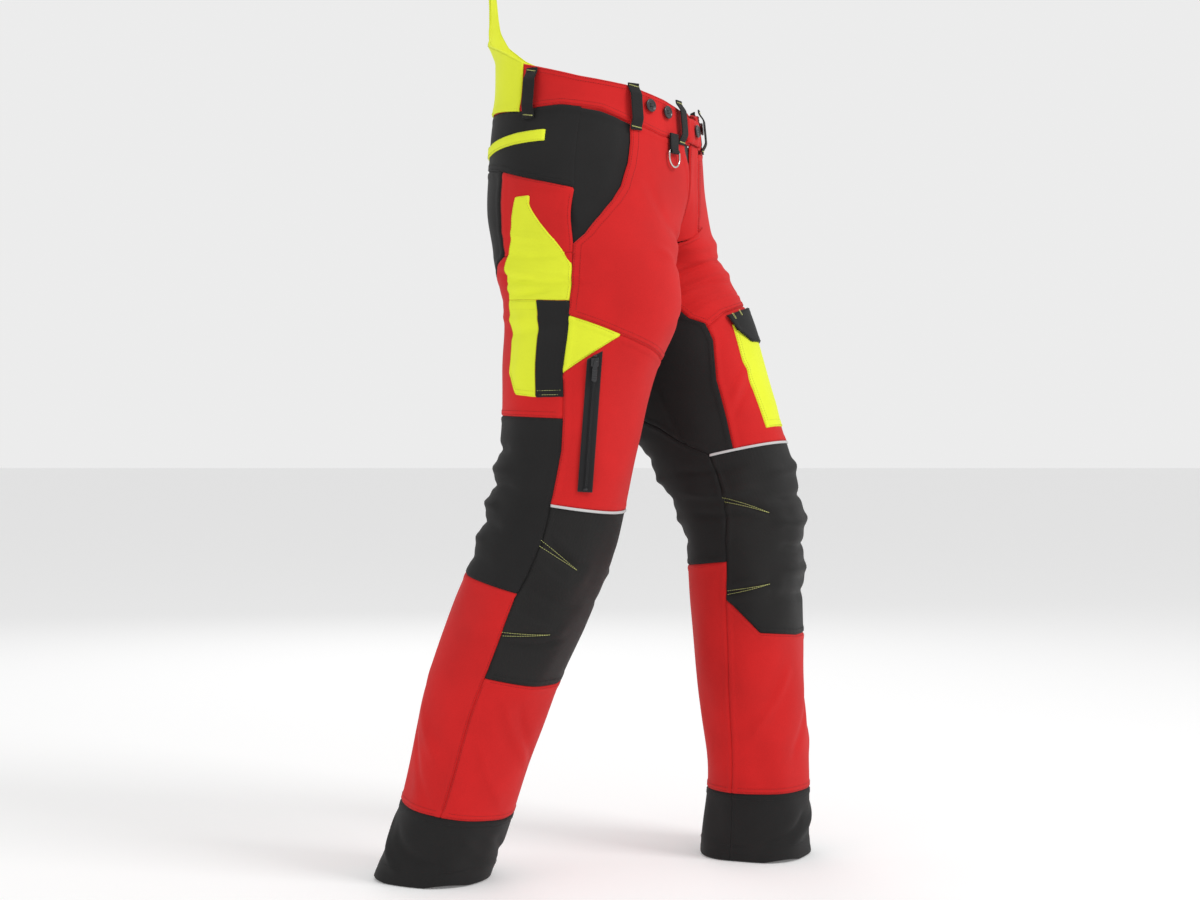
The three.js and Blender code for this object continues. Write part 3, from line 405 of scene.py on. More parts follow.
class Patch:
    """A four-sided patch: a blend of its bottom, right, top and left edges.

    The place at (u, v) is the blend of the bottom and top edges by v, plus that of the left and
    right edges by u, less the blend of the four corners.
    """

    def __init__(self, bottom, right, top, left, step=3.6):
        sizes = [walk(edge, np.array([0.0]))[1] for edge in (bottom, right, top, left)]
        self.edges = (bottom, right, top, left)
        self.u = graded(max(sizes[0], sizes[2]), step)
        self.v = graded(max(sizes[1], sizes[3]), step)
        self.flat = self.blend(self.u[None, :], self.v[:, None])
        across = np.hypot(*np.moveaxis(np.diff(self.flat, axis=1), -1, 0))
        climb = np.hypot(*np.moveaxis(np.diff(self.flat, axis=0), -1, 0))
        self.from_left = np.pad(np.cumsum(across, 1), ((0, 0), (1, 0)))
        self.from_bottom = np.pad(np.cumsum(climb, 0), ((1, 0), (0, 0)))

    def blend(self, u, v):
        bottom, right, top, left = self.edges
        low, _ = walk(bottom, u)
        high, _ = walk(top, u)
        west, _ = walk(left, v)
        east, _ = walk(right, v)
        u, v = u[..., None], v[..., None]
        corners = (1 - u) * ((1 - v) * low[:, :1] + v * high[:, :1]) + u * ((1 - v) * low[:,
            -1:] + v * high[:, -1:])
        return (1 - v) * low + v * high + (1 - u) * west + u * east - corners

    def distances(self):
        """Distance in millimetres of each grid point from the left, right, bottom and top edges."""
        return {
            "left": self.from_left, "right": self.from_left[:, -1:] - self.from_left,
            "bottom": self.from_bottom, "top": self.from_bottom[-1:] - self.from_bottom,
        }

    def line(self, edge, distance, margin=1.5):
        """[angle, level] points of the line at a distance from one edge, stopping short of its ends."""
        away = self.distances()[edge]
        rows = away.T if edge in ("bottom", "top") else away
        flats = np.swapaxes(self.flat, 0, 1) if edge in ("bottom", "top") else self.flat
        if edge in ("right", "top"):
            rows, flats = rows[:, ::-1], flats[:, ::-1]
        picked = np.array([[np.interp(distance, row, flat[:, k]) for k in (0, 1)] for row,
            flat in zip(rows, flats)])
        steps = np.concatenate([[0], np.cumsum(np.hypot(*np.diff(picked, axis=0).T))])
        keep = (steps > margin) & (steps < steps[-1] - margin)
        return picked[keep] / np.array([MM_PER_DEGREE, 1])


class UprightPatch(Patch):
    """A patch whose lines run straight up from the bottom edge to the top edge, closest near turn 0.

    The turn is the half width times the signed square of the share's distance from the middle.
    """

    def blend(self, u, v):
        bottom, top = np.asarray(self.edges[0], float), np.asarray(self.edges[2], float)
        spread = 2 * u - 1
        turn = bottom[-1, 0] * spread * np.abs(spread)
        low = np.interp(turn, bottom[:, 0], bottom[:, 1])
        high = np.interp(turn, top[:, 0], top[:, 1])
        level = (1 - v) * low + v * high
        return np.stack([turn * MM_PER_DEGREE + 0 * level, level], -1)


def ease(low, high, x):
    """Nought below low, one above high, with a smooth step between."""
    t = np.clip((x - low) / (high - low), 0, 1)
    return t * t * (3 - 2 * t)


def felled(d, along):
    """A sewn seam: a sharp hollow at the edge, then a low raised band with a slight pucker."""
    band = ease(0.8, 2.2, d) - ease(7.6, 9.6, d)
    pucker = 0.14 * np.sin(along * 0.52) * np.exp(-(((d - 4.5) / 4) ** 2))
    rows = np.exp(-(((d - 2.6) / 0.8) ** 2)) + np.exp(-(((d - 7.4) / 0.8) ** 2))
    return -0.9 * np.exp(-((d / 1.2) ** 2)) + 0.75 * band - 0.3 * rows + pucker


def turned(d, along):
    """A free folded edge: rounded over at the rim, with a thicker turning behind it."""
    rim = -1.5 * np.exp(-((d / 0.8) ** 2))
    return rim + 0.4 * (ease(0.5, 1.6, d) - ease(8, 9.5,
        d)) + 0.1 * np.sin(along * 0.45) * np.exp(-((d / 6) ** 2))


def plain(d, along):
    return -0.6 * np.exp(-((d / 0.8) ** 2))


def hidden(d, along):
    return 0 * d


PROFILES = {"f": felled, "t": turned, "p": plain, "h": hidden}
EDGE_NAMES = ("bottom", "right", "top", "left")

# ---- Meshes ------------------------------------------------------------------------------------


def make_mesh(name, points, faces, uv=None):
    """A mesh from arrays: points in metres, faces as equal-length rows of indices."""
    mesh = bpy.data.meshes.new(name)
    count, corners = faces.shape
    mesh.vertices.add(len(points))
    mesh.vertices.foreach_set("co", np.asarray(points, np.float32).ravel())
    mesh.loops.add(count * corners)
    mesh.loops.foreach_set("vertex_index", faces.astype(np.int32).ravel())
    mesh.polygons.add(count)
    mesh.polygons.foreach_set("loop_start", np.arange(0, count * corners, corners, dtype=np.int32))
    mesh.polygons.foreach_set("loop_total", np.full(count, corners, np.int32))
    mesh.polygons.foreach_set("use_smooth", np.ones(count, bool))
    if uv is not None:
        layer = mesh.uv_layers.new(name="cloth")
        layer.data.foreach_set("uv", np.asarray(uv, np.float32)[faces.ravel()].ravel())
    mesh.update()
    mesh.validate()
    return mesh


def grid_faces(rows, columns, flip=False, close_rows=False, close_columns=False):
    """Quads over a grid of points numbered row by row."""
    i = np.arange(rows if close_rows else rows - 1)[:, None]
    j = np.arange(columns if close_columns else columns - 1)[None, :]
    here, above = i * columns, ((i + 1) % rows) * columns
    after = (j + 1) % columns
    quads = np.stack([here + j, here + after, above + after, above + j], -1).reshape(-1, 4)
    return quads[:, ::-1] if flip else quads


def add_object(name, mesh, material, body="garment", replaces=()):
    """Links a finished piece, parents it to the empty of the body it rides on and hides the parts it stands
    for.
    """
    piece = bpy.data.objects.new(f"{name}_visual", mesh)
    bpy.context.scene.collection.objects.link(piece)
    mesh.materials.append(material)
    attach(piece, body)
    if replaces:
        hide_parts(*replaces)
    return piece


def thicken(piece, thickness, offset=-1.0):
    """Gives a sheet its cloth thickness inwards, with closed rims."""
    solid = piece.modifiers.new("cloth", "SOLIDIFY")
    solid.thickness = thickness * MM
    solid.offset = offset
    solid.use_rim = True
    return piece


THREADS = []


def note_stitches(line, place, lift, colour, body, pitch=3.2):
    """Remembers a run of stitches, made together at the end."""
    THREADS.append((np.asarray(line, float), place, lift, colour, body, pitch))


def sew(name, patch, place, side, look, edges="ffff", lift=0.0, thickness=FABRIC, body="garment", node=None,
        rows=(), shape=None):
    """Makes one cloth piece from a patch, with its seam profiles, and notes its rows of topstitching.

    edges gives the profile of the bottom, right, top and left edges. rows holds (edge, distance, colour).
    shape is a further height over the patch's angles and levels.
    """
    distances = patch.distances()
    angle, level = patch.flat[..., 0] / MM_PER_DEGREE, patch.flat[..., 1]
    height = np.full(angle.shape, float(lift))
    for edge, kind in zip(EDGE_NAMES, edges):
        run = patch.flat[..., 0] if edge in ("bottom", "top") else patch.flat[..., 1]
        height = height + PROFILES[kind](distances[edge], run)
    if shape is not None:
        height = height + shape(patch, angle, level)
    points = place(angle, level, height).reshape(-1, 3) * MM
    rows_count, columns = angle.shape
    faces = grid_faces(rows_count, columns, flip=side == LEFT)
    material, slot = LOOKS[look]
    mesh = make_mesh(name, points, faces, patch.flat.reshape(-1, 2) * MM)
    piece = add_object(name, mesh, material(), body, [node or name])
    thicken(piece, thickness)
    for edge, distance, colour in rows:
        kind = dict(zip(EDGE_NAMES, edges))[edge]
        bump = float(PROFILES[kind](np.array([float(distance)]), np.array([0.0]))[0])
        note_stitches(patch.line(edge, distance), place, lift + bump, colour, body)
    return piece


def frame_at(place, angle, level, lift=0.0):
    """Upright axes at a place: across, outward and up, with the origin, in millimetres."""
    at = np.array([float(angle)]), np.array([float(level)])
    origin = place(*at, np.array([float(lift)]))[0]
    around = place(at[0] + 1.5, at[1], np.zeros(1))[0] - place(at[0] - 1.5, at[1], np.zeros(1))[0]
    up = place(at[0], at[1] + 6, np.zeros(1))[0] - place(at[0], at[1] - 6, np.zeros(1))[0]
    out = unit(np.cross(around, up))
    centre = place(at[0], at[1], np.zeros(1))[0]
    if np.dot(out, centre - np.array([np.sign(centre[0]) * 60, 0, centre[2]])) < 0:
        out = -out
    up = unit(np.array([0, 0, 1.0]) - out * out[2])
    return origin, np.cross(out, up), out, up


def tube(path, profile, side_axis, closed=False):
    """A profile carried along a path: each section is the path's point plus the profile in two axes.

    path is n points, side_axis n directions across the path, and profile m pairs (across, out).
    """
    path, side_axis = np.asarray(path, float), unit(np.asarray(side_axis, float))
    ahead = np.roll(path, -1, 0) - np.roll(path, 1, 0)
    if not closed:
        ahead[0], ahead[-1] = path[1] - path[0], path[-1] - path[-2]
    ahead = unit(ahead)
    out = unit(np.cross(side_axis, ahead))
    profile = np.asarray(profile, float)
    points = path[:, None] + side_axis[:, None] * profile[None, :, :1] + out[:, None] * profile[None, :, 1:]
    return points


def tube_faces(rows, columns, closed, flip=False):
    """Sides of a tube, with its two ends filled by strips when it is open."""
    faces = grid_faces(rows, columns, flip, close_rows=closed, close_columns=True)
    if closed:
        return faces
    caps = []
    for base, turn in ((0, True), ((rows - 1) * columns, False)):
        half = columns // 2
        k = np.arange(half - 1)
        quads = np.stack([k, k + 1, columns - 2 - k, columns - 1 - k], -1) + base
        caps.append(quads[:, ::-1] if turn != flip else quads)
    return np.concatenate([faces, *caps])


def ring_profile(width, height, count=16, power=2.6):
    """A rounded rectangle as a superellipse of that many points."""
    turn = np.linspace(0, 2 * np.pi, count, endpoint=False) + np.pi / count
    def part(values, size):
        return np.sign(values) * np.abs(values) ** (2 / power) * size / 2
    return np.stack([part(np.cos(turn), width), part(np.sin(turn), height)], -1)


def turned_shape(profile, count):
    """A profile of (radius, height) pairs turned about the out axis, as across, out and up parts."""
    profile = np.asarray(profile, float)
    turn = np.linspace(0, 2 * np.pi, count, endpoint=False)
    radius, height = profile[:, :1], profile[:, 1:]
    return np.stack([radius * np.cos(turn), np.broadcast_to(height, (len(profile), count)),
        radius * np.sin(turn)], -1)


def carried(local, axes):
    """Local (across, out, up) coordinates to the frame's axes."""
    origin, across, out, up = axes
    return origin + local[..., :1] * across + local[..., 1:2] * out + local[..., 2:] * up


def outward_faces(points, faces):
    """Faces turned over as a whole if their signed volume is negative."""
    a, b, c, d = (points[faces[:, k]] for k in range(4))
    volume = np.einsum("ij,ij->i", a, np.cross(b, c)).sum() + np.einsum("ij,ij->i", a, np.cross(c, d)).sum()
    return faces[:, ::-1] if volume < 0 else faces


def solid(name, points, faces, look, body="garment", node=None, uv=None):
    """A closed hard piece from points in millimetres."""
    flat = points.reshape(-1, 3)
    faces = outward_faces(flat - flat.mean(0), faces)
    material, slot = LOOKS[look]
    names = [] if node is False else [node or name]
    return add_object(name, make_mesh(name, flat * MM, faces, uv), material(), body, names)


def joined(parts):
    """Several (points, faces) pairs as one."""
    points, faces, count = [], [], 0
    for part, quads in parts:
        flat = part.reshape(-1, 3)
        quads = outward_faces(flat - flat.mean(0), quads)
        points.append(flat)
        faces.append(quads + count)
        count += len(flat)
    return np.concatenate(points), np.concatenate(faces)


def joined_solid(name, parts, look, body="garment", node=None):
    """One piece from several closed parts."""
    points, faces = joined(parts)
    material, slot = LOOKS[look]
    names = [] if node is False else [node or name]
    return add_object(name, make_mesh(name, points * MM, faces), material(), body, names)


# ---- Materials ---------------------------------------------------------------------------------

MADE = {}


def node(tree, kind, **values):
    """Adds a shader node, setting inputs by name or number and other settings by attribute."""
    made = tree.nodes.new(kind)
    for key, value in values.items():
        if key.startswith("in_"):
            slot = key[3:]
            made.inputs[int(slot) if slot.isdigit() else slot.replace("_", " ")].default_value = value
        else:
            setattr(made, key, value)
    return made


def wave(tree, source, per_metre):
    """Sine of a coordinate with that many waves to the metre."""
    scale = node(tree, "ShaderNodeMath", operation="MULTIPLY_ADD", in_1=per_metre * 2 * math.pi, in_2=0.0)
    tree.links.new(source, scale.inputs[0])
    sine = node(tree, "ShaderNodeMath", operation="SINE")
    tree.links.new(scale.outputs[0], sine.inputs[0])
    return sine.outputs[0]


def combine(tree, operation, a, b):
    made = node(tree, "ShaderNodeMath", operation=operation)
    for slot, value in enumerate((a, b)):
        if isinstance(value, (int, float)):
            made.inputs[slot].default_value = value
        else:
            tree.links.new(value, made.inputs[slot])
    return made.outputs[0]


def cloth(name, colour, threads=620, twill=False, depth=0.00022, sheen=0.25, rough=0.86, mottle=0.12):
    """Woven cloth: crossed or slanting threads as height, soft mottling of the dye, and fibre sheen."""
    if name in MADE:
        return MADE[name]
    made = bpy.data.materials.new(name)
    made.use_nodes = True
    tree = made.node_tree
    shader = tree.nodes["Principled BSDF"]
    shader.inputs["Roughness"].default_value = rough
    shader.inputs["Sheen Weight"].default_value = sheen
    shader.inputs["Sheen Roughness"].default_value = 0.5
    shader.inputs["Specular IOR Level"].default_value = 0.25
    places = node(tree, "ShaderNodeTexCoord")
    axes = node(tree, "ShaderNodeSeparateXYZ")
    tree.links.new(places.outputs["UV"], axes.inputs[0])
    u, v = axes.outputs[0], axes.outputs[1]
    if twill:
        slant = combine(tree, "ADD", u, combine(tree, "MULTIPLY", v, 0.6))
        height = combine(tree, "MULTIPLY", wave(tree, slant, threads),
            combine(tree, "ADD", wave(tree, v, threads * 1.6), 1.6))
    else:
        over = wave(tree, u, threads)
        under = wave(tree, v, threads)
        height = combine(tree, "MAXIMUM", combine(tree, "MULTIPLY", over, wave(tree, v, threads / 2)), under)
    fibre = node(tree, "ShaderNodeTexNoise", in_Scale=900.0, in_Detail=2.0)
    tree.links.new(places.outputs["Object"], fibre.inputs["Vector"])
    total = combine(tree, "ADD", combine(tree, "MULTIPLY", height, 0.5), fibre.outputs[0])
    slub = node(tree, "ShaderNodeTexNoise", in_Scale=60.0, in_Detail=4.0)
    tree.links.new(places.outputs["Object"], slub.inputs["Vector"])
    total = combine(tree, "ADD", total, combine(tree, "MULTIPLY", slub.outputs[0], 1.2))
    bump = node(tree, "ShaderNodeBump", in_Strength=0.55, in_Distance=depth)
    tree.links.new(total, bump.inputs["Height"])
    tree.links.new(bump.outputs[0], shader.inputs["Normal"])
    cloud = node(tree, "ShaderNodeTexNoise", in_Scale=14.0, in_Detail=3.0)
    tree.links.new(places.outputs["Object"], cloud.inputs["Vector"])
    shade = combine(tree, "ADD", combine(tree, "MULTIPLY", cloud.outputs[0], 0.6),
        combine(tree, "MULTIPLY", fibre.outputs[0], 0.4))
    ramp = node(tree, "ShaderNodeValToRGB")
    ramp.color_ramp.elements[0].position = 0.3
    ramp.color_ramp.elements[1].position = 0.7
    ramp.color_ramp.elements[0].color = [*[c * (1 - mottle) for c in colour], 1]
    ramp.color_ramp.elements[1].color = [*[min(c * (1 + mottle), 1) for c in colour], 1]
    tree.links.new(shade, ramp.inputs[0])
    tree.links.new(ramp.outputs[0], shader.inputs["Base Color"])
    MADE[name] = made
    return made


def hard(name, colour, rough, metallic=0.0, coat=0.0, grain=0.15, scale=220.0):
    """Moulded or plated finish: a slight grain in height and roughness under the gloss."""
    if name in MADE:
        return MADE[name]
    made = bpy.data.materials.new(name)
    made.use_nodes = True
    tree = made.node_tree
    shader = tree.nodes["Principled BSDF"]
    shader.inputs["Metallic"].default_value = metallic
    shader.inputs["Coat Weight"].default_value = coat
    places = node(tree, "ShaderNodeTexCoord")
    noise = node(tree, "ShaderNodeTexNoise", in_Scale=scale, in_Detail=4.0)
    tree.links.new(places.outputs["Object"], noise.inputs["Vector"])
    worn = node(tree, "ShaderNodeMapRange", in_3=rough * (1 - grain), in_4=rough * (1 + grain))
    tree.links.new(noise.outputs[0], worn.inputs[0])
    tree.links.new(worn.outputs[0], shader.inputs["Roughness"])
    ramp = node(tree, "ShaderNodeValToRGB")
    ramp.color_ramp.elements[0].color = [*[c * (1 - grain) for c in colour], 1]
    ramp.color_ramp.elements[1].color = [*[min(c * (1 + grain), 1) for c in colour], 1]
    tree.links.new(noise.outputs[0], ramp.inputs[0])
    tree.links.new(ramp.outputs[0], shader.inputs["Base Color"])
    bump = node(tree, "ShaderNodeBump", in_Strength=0.2, in_Distance=0.00005)
    tree.links.new(noise.outputs[0], bump.inputs["Height"])
    tree.links.new(bump.outputs[0], shader.inputs["Normal"])
    MADE[name] = made
    return made


def colours():
    return bpy.context.scene.trousers_cloth


LOOKS = {
    "red": (lambda: cloth("red_stretch_cloth", colours().red[:], 700, depth=0.00018, sheen=0.05),
    "red_fabric"),
    "black": (lambda: cloth("black_stretch_cloth", colours().black[:], 640, sheen=0.06, mottle=0.2),
    "black_fabric"),
    "knee": (lambda: cloth("black_knee_cloth", colours().knee[:], 420, twill=True, depth=0.0003, sheen=0.04,
    rough=0.62,
                           mottle=0.3), "knee_fabric"),
    "yellow": (lambda: cloth("yellow_signal_cloth", colours().yellow[:], 560, sheen=0.05, mottle=0.05),
    "yellow_fabric"),
    "facing": (lambda: cloth("black_stretch_cloth", colours().black[:], 640, sheen=0.06, mottle=0.2),
    "pocket_lining"),
    "webbing": (lambda: cloth("black_webbing", colours().black[:], 500, twill=True, depth=0.0004, sheen=0.06,
    mottle=0.25), "webbing"),
    "silver": (lambda: cloth("silver_piping_tape", colours().silver[:], 900, sheen=0.0, rough=0.4,
    mottle=0.08), "silver_piping"),
    "padding": (lambda: cloth("pale_guard_knit", (0.62, 0.6, 0.52), 300, depth=0.0005, mottle=0.1),
    "cut_protection"),
    "tape": (lambda: cloth("zip_tape_knit", (0.012, 0.012, 0.013), 480, twill=True, mottle=0.2), "zip_tape"),
    "red_thread": (lambda: cloth("red_thread", [c * 0.42 for c in colours().red], 2000, sheen=0.1,
    rough=0.6), "red_fabric"),
    "black_thread": (lambda: cloth("black_thread", (0.006, 0.006, 0.006), 2000, sheen=0.1, rough=0.6),
    "black_fabric"),
    "yellow_thread": (lambda: cloth("yellow_thread", [c * 0.66 for c in colours().yellow], 2000, sheen=0.1,
    rough=0.6), "yellow_fabric"),
    "lime_thread": (lambda: cloth("lime_thread", colours().thread[:], 2000, sheen=0.1, rough=0.55),
    "yellow_fabric"),
    "plastic": (lambda: hard("black_button_plastic", (0.018, 0.018, 0.02), 0.32, coat=0.3), "black_plastic"),
    "teeth": (lambda: hard("black_coil_plastic", (0.02, 0.02, 0.022), 0.35), "zip_tape"),
    "slider": (lambda: hard("black_lacquered_metal", (0.03, 0.03, 0.032), 0.28, metallic=0.6, coat=0.4),
    "zip_metal"),
    "nickel": (lambda: hard("nickel_plate", (0.66, 0.64, 0.6), 0.2, metallic=1.0, grain=0.1), "nickel"),
}

# ---- Settings ----------------------------------------------------------------------------------


def colour_setting(name, value, about):
    return bpy.props.FloatVectorProperty(name=name, description=about, default=value, subtype="COLOR", min=0,
        max=1, size=3)


class TrousersCloth(bpy.types.PropertyGroup):
    """Colours and softness of the cloth."""

    red: colour_setting("Red", (0.62, 0.014, 0.014), "Main cloth")
    black: colour_setting("Black", (0.0145, 0.0140, 0.0140), "Stretch cloth, hems and pockets")
    knee: colour_setting("Knee black", (0.0105, 0.0098, 0.0095), "Reinforced cloth over the knees")
    yellow: colour_setting("Yellow", (0.80, 0.88, 0.035), "Signal panels and kidney guard")
    silver: colour_setting("Silver", (0.60, 0.60, 0.60), "Piping above the knees")
    thread: colour_setting("Thread", (0.74, 0.76, 0.26), "Contrast stitching")
    fold_depth: bpy.props.FloatProperty(name="Fold depth", description="Strength of the creases",
        default=1.6, min=0, max=2,
                                        subtype="FACTOR")


class TrousersTrim(bpy.types.PropertyGroup):
    """Sizes of the sewn-on hardware."""

    stitch_length: bpy.props.FloatProperty(name="Stitch length", description="Visible length of one stitch",
        default=0.0023,
                                           unit="LENGTH")
    thread_radius: bpy.props.FloatProperty(name="Thread radius", description="Half the thread's thickness",
        default=0.0003,
                                           unit="LENGTH")
    loop_width: bpy.props.FloatProperty(name="Belt loop width", description="Across a belt loop",
        default=0.017, unit="LENGTH")
    button_radius: bpy.props.FloatProperty(name="Button radius", description="Half a button's width",
        default=0.0085,
                                           unit="LENGTH")
    ring_wire: bpy.props.FloatProperty(name="Ring wire", description="Radius of the D-ring's wire",
        default=0.0013,
                                       unit="LENGTH")


class TrousersStage(bpy.types.PropertyGroup):
    """Camera and light."""

    distance: bpy.props.FloatProperty(name="Camera distance", description="From the garment's axis",
        default=2.64,
                                      unit="LENGTH")
    azimuth: bpy.props.FloatProperty(name="Camera azimuth", description="Round from the front",
        default=math.radians(-68),
                                     subtype="ANGLE")
    height: bpy.props.FloatProperty(name="Camera height", description="Above the ground", default=0.552,
        unit="LENGTH")
    lens: bpy.props.FloatProperty(name="Lens", description="Focal length in millimetres", default=59.28)
    light: bpy.props.FloatProperty(name="Light", description="Strength of the soft lights", default=1.0,
        min=0)

# ---- Cloth pieces ------------------------------------------------------------------------------


def sew_waist():
    """Waistband, yoke, its stripe and the kidney guard, all in one run round the body."""
    low, high = float(broken(WAIST_SEAM, 80)), float(broken(WAIST_EDGE, 80))
    ends = [[belt_angle(LEFT, placket_turn(level), level), level] for level in (low, high)]

    def row(table, back, end):
        inner = [point for point in belt_row(table, back) if point[0] < end[0] - 2]
        return [[-180, end[1]], *inner, end]

    band = Patch(row(WAIST_SEAM, WAIST_BACK, ends[0]), ends, row(WAIST_EDGE, WAIST_TOP, ends[1]),
                 [[-180, low], [-180, high]])
    lines = [("top", 2.4, "red_thread"), ("top", 7.0, "red_thread"), ("bottom", 2.6, "red_thread"),
             ("bottom", 7.2, "red_thread")]
    sew("waistband", band, on_belt, LEFT, "red", "fptp", thickness=2.6, rows=lines)

    upper = [point for point in WAIST_SEAM if point[0] < 17] + [[17.5, float(broken(WAIST_SEAM, 17.5))]]
    top, bottom = belt_row(upper, WAIST_BACK), belt_row(YOKE_SEAM, YOKE_BACK)
    yoke = Patch(bottom, [bottom[-1], top[-1]], top, [bottom[0], top[0]])
    sew("back_yoke", yoke, on_belt, LEFT, "black", "fpfp",
        rows=[("bottom", 2.6, "black_thread"), ("bottom", 7.4, "black_thread")])

    low_row = belt_row([[-46, 920], [-20, 931], [0.5, 939]], 912)
    high_row = belt_row([[-46, 932], [-18, 946], [0.5, 954]], 925)
    stripe = Patch(low_row, [low_row[-1], high_row[-1]], high_row, [low_row[0], high_row[0]], step=3.0)
    lines = [("top", 1.6, "yellow_thread"), ("bottom", 1.6, "yellow_thread")]
    sew("back_stripe", stripe, on_belt, LEFT, "yellow", "tttt", lift=LAYER + 0.6, thickness=1.2, rows=lines)

    half = [[73, 1034], [57, 1043], [35, 1054], [19.4, 1063], [9.1, 1076], [4.6, 1096], [3.2, 1120],
        [2.6, 1147]]
    crest = [[-turn, level] for turn, level in half] + half[::-1]
    foot = [[-73, 972], [-40, 968], [0, 966], [40, 968], [73, 972]]
    guard = UprightPatch(foot, [foot[-1], half[0]], crest, [foot[0], [-73, 1034]])
    lines = [("top", 2.6, "yellow_thread"), ("bottom", 2.6, "yellow_thread")]
    sew("kidney_guard", guard, on_guard, LEFT, "yellow", "tttt", lift=LAYER + 1.4, thickness=2.4, rows=lines,
        shape=quilted_guard)


def quilted_guard(patch, angle, level):
    """Soft padding: a slow swell between upright stitch lines a hand's width apart."""
    return 0.8 * np.sin(angle / 18 * math.pi / 2) ** 2 * ease(6, 20, patch.distances()["top"]) * ease(4, 9,
        np.abs(angle))


def bag_shape(patch, angle, level):
    """The pocket facing lies flush with the yoke and sinks just before it slips under the pocket mouth."""
    mouth = np.interp(level, [point[1] for point in POCKET_MOUTH], [point[0] for point in POCKET_MOUTH])
    return 2.95 * ease(14.5, 17.6, angle) * (1 - ease(-10, -2.5, angle - mouth))


def sew_hip(side):
    name, place = SIDES[side], on_leg(side)
    bag = Patch([[10, 800], [40, 800]], [[40, 800], [56, 850], [58, 977]],
        [[14, 989], [28, 990], [45, 983], [58, 977]],
                [[10, 800], [13, 870], [14, 989]])
    sew(f"hip_pocket_bag_{name}", bag, place, side, "facing", "hhfh", lift=-3.1, shape=bag_shape)

    middle = float(centre_angle(YOKE_BACK))
    back = centre_seam(CROTCH + 1, YOKE_BACK, -1)
    seat = Patch(SEAT_LOW, SEAT_SIDE, [[-middle, YOKE_BACK], *YOKE_SEAM[:2]], [[-180, 797], *back[1:]])
    lines = [("bottom", 2.6, "black_thread"), ("right", 2.6, "black_thread"), ("left", 2.6, "black_thread")]
    sew(f"seat_{name}", seat, place, side, "black", "ffff", rows=lines)

    hip_side = seam(SIDE_SEAM, 797, 881)
    panel = Patch([SEAT_SIDE[0], hip_side[0]], hip_side, [SEAT_SIDE[2], YOKE_SEAM[2]], SEAT_SIDE)
    sew(f"hip_panel_{name}", panel, place, side, "red", "pfff",
        rows=[("right", 2.6, "red_thread"), ("left", 2.6, "red_thread"),
                                                                      ("top", 2.6, "red_thread")])
    signal = Patch([[-45, 742.2], [4.5, 737.2]],
        [[4.5, 737.2], [8, 782], [-0.5, 823], [-7, 857], [-6.5, 869]],
                   [[-16.5, 867], [-6.5, 869]], [[-45, 742.2], [-38, 790], [-28, 816], [-16.5, 867]])
    lines = [("left", 2.2, "yellow_thread"), ("right", 2.2, "yellow_thread"), ("top", 2.2, "yellow_thread")]
    sew(f"side_panel_{name}", signal, place, side, "yellow", "pttt", lift=LAYER, rows=lines)


def sew_thigh(side):
    name, place, levels = SIDES[side], on_leg(side), LEVELS[side]
    knee, back_top = levels["kneeTop"], levels["backTop"]
    foot = [float(broken(INSEAM, knee)), knee]
    heel = [205, knee + 50]

    outer = seam(SIDE_SEAM, back_top, 797)
    thigh = Patch([[GUSSET_BACK - 360, back_top], outer[0]], outer, [*SEAT_LOW[1:], outer[-1]],
                  [[GUSSET_BACK - 360, back_top], SEAT_LOW[1]])
    sew(f"back_thigh_{name}", thigh, place, side, "red", "ffff",
        rows=[("bottom", 2.6, "red_thread"), ("bottom", 7.4, "red_thread")])

    front = seam(GUSSET_SEAM, knee, 797)
    gusset = Patch([front[0], foot, heel, [GUSSET_BACK, back_top]],
        [[GUSSET_BACK, back_top], [GUSSET_BACK, 765]],
                   [[180, 797], [GUSSET_BACK, 765]], front)
    sew(f"gusset_{name}", gusset, place, side, "black", "ffff",
        rows=[("left", 2.6, "black_thread"), ("left", 7.4, "black_thread")],
        shape=gusset_seam)

    seam_row = THIGH_SEAM[side]
    gusset_side = seam(GUSSET_SEAM, seam_row[-1][1], 797)
    mouth = [[float(broken(SIDE_SEAM, seam_row[0][1])), seam_row[0][1]],
        *seam(SIDE_SEAM, seam_row[0][1], 808)[1:-1], *POCKET_MOUTH]
    if side == RIGHT:
        centre = centre_seam(CROTCH + 2, FLY_TOP, 1)
        centre = [point for point in centre if point[1] < 835]
        retreat = ((0.9, 850), (1.0, 880), (1.1, 910), (1.3, 930), (2.8, 946), (5.0, 960), (7.0, TUCK))
        centre += [[float(centre_angle(level)) - away, level] for away, level in retreat]
        top = [[45, 985], [65, 976], centre[-1]]
    else:
        centre = centre_seam(CROTCH + 2, FLY_BOTTOM, 1)[::4]
        centre += [[placket_turn(level), level] for level in (840, 870, 900, 935, FLY_TOP)]
        top = [[45, 985], [60, 978], centre[-1]]
    upper = Patch(seam_row, [*gusset_side, *centre], top, mouth, step=2.5)
    lines = [("bottom", 2.6, "red_thread"), ("bottom", 7.4, "red_thread"), ("left", 2.4, "red_thread"),
        ("left", 8.2, "red_thread")]
    if side == LEFT:
        lines += [("right", 2.6, "red_thread"), ("right", 7.6, "red_thread")]
    sew(f"front_thigh_{name}", upper, place, side, "red", "ffft", rows=lines)

    edge = LOWER_EDGE[side]
    inner, outside = seam(GUSSET_SEAM, knee, edge[-1][1]), seam(SIDE_SEAM, knee, edge[0][1])
    lower = Patch([outside[0], inner[0]], inner, edge, outside)
    sew(f"thigh_front_lower_{name}", lower, place, side, "red", "ffff",
        rows=[("left", 2.6, "red_thread"), ("right", 2.6, "red_thread"), ("bottom", 2.6, "red_thread")])


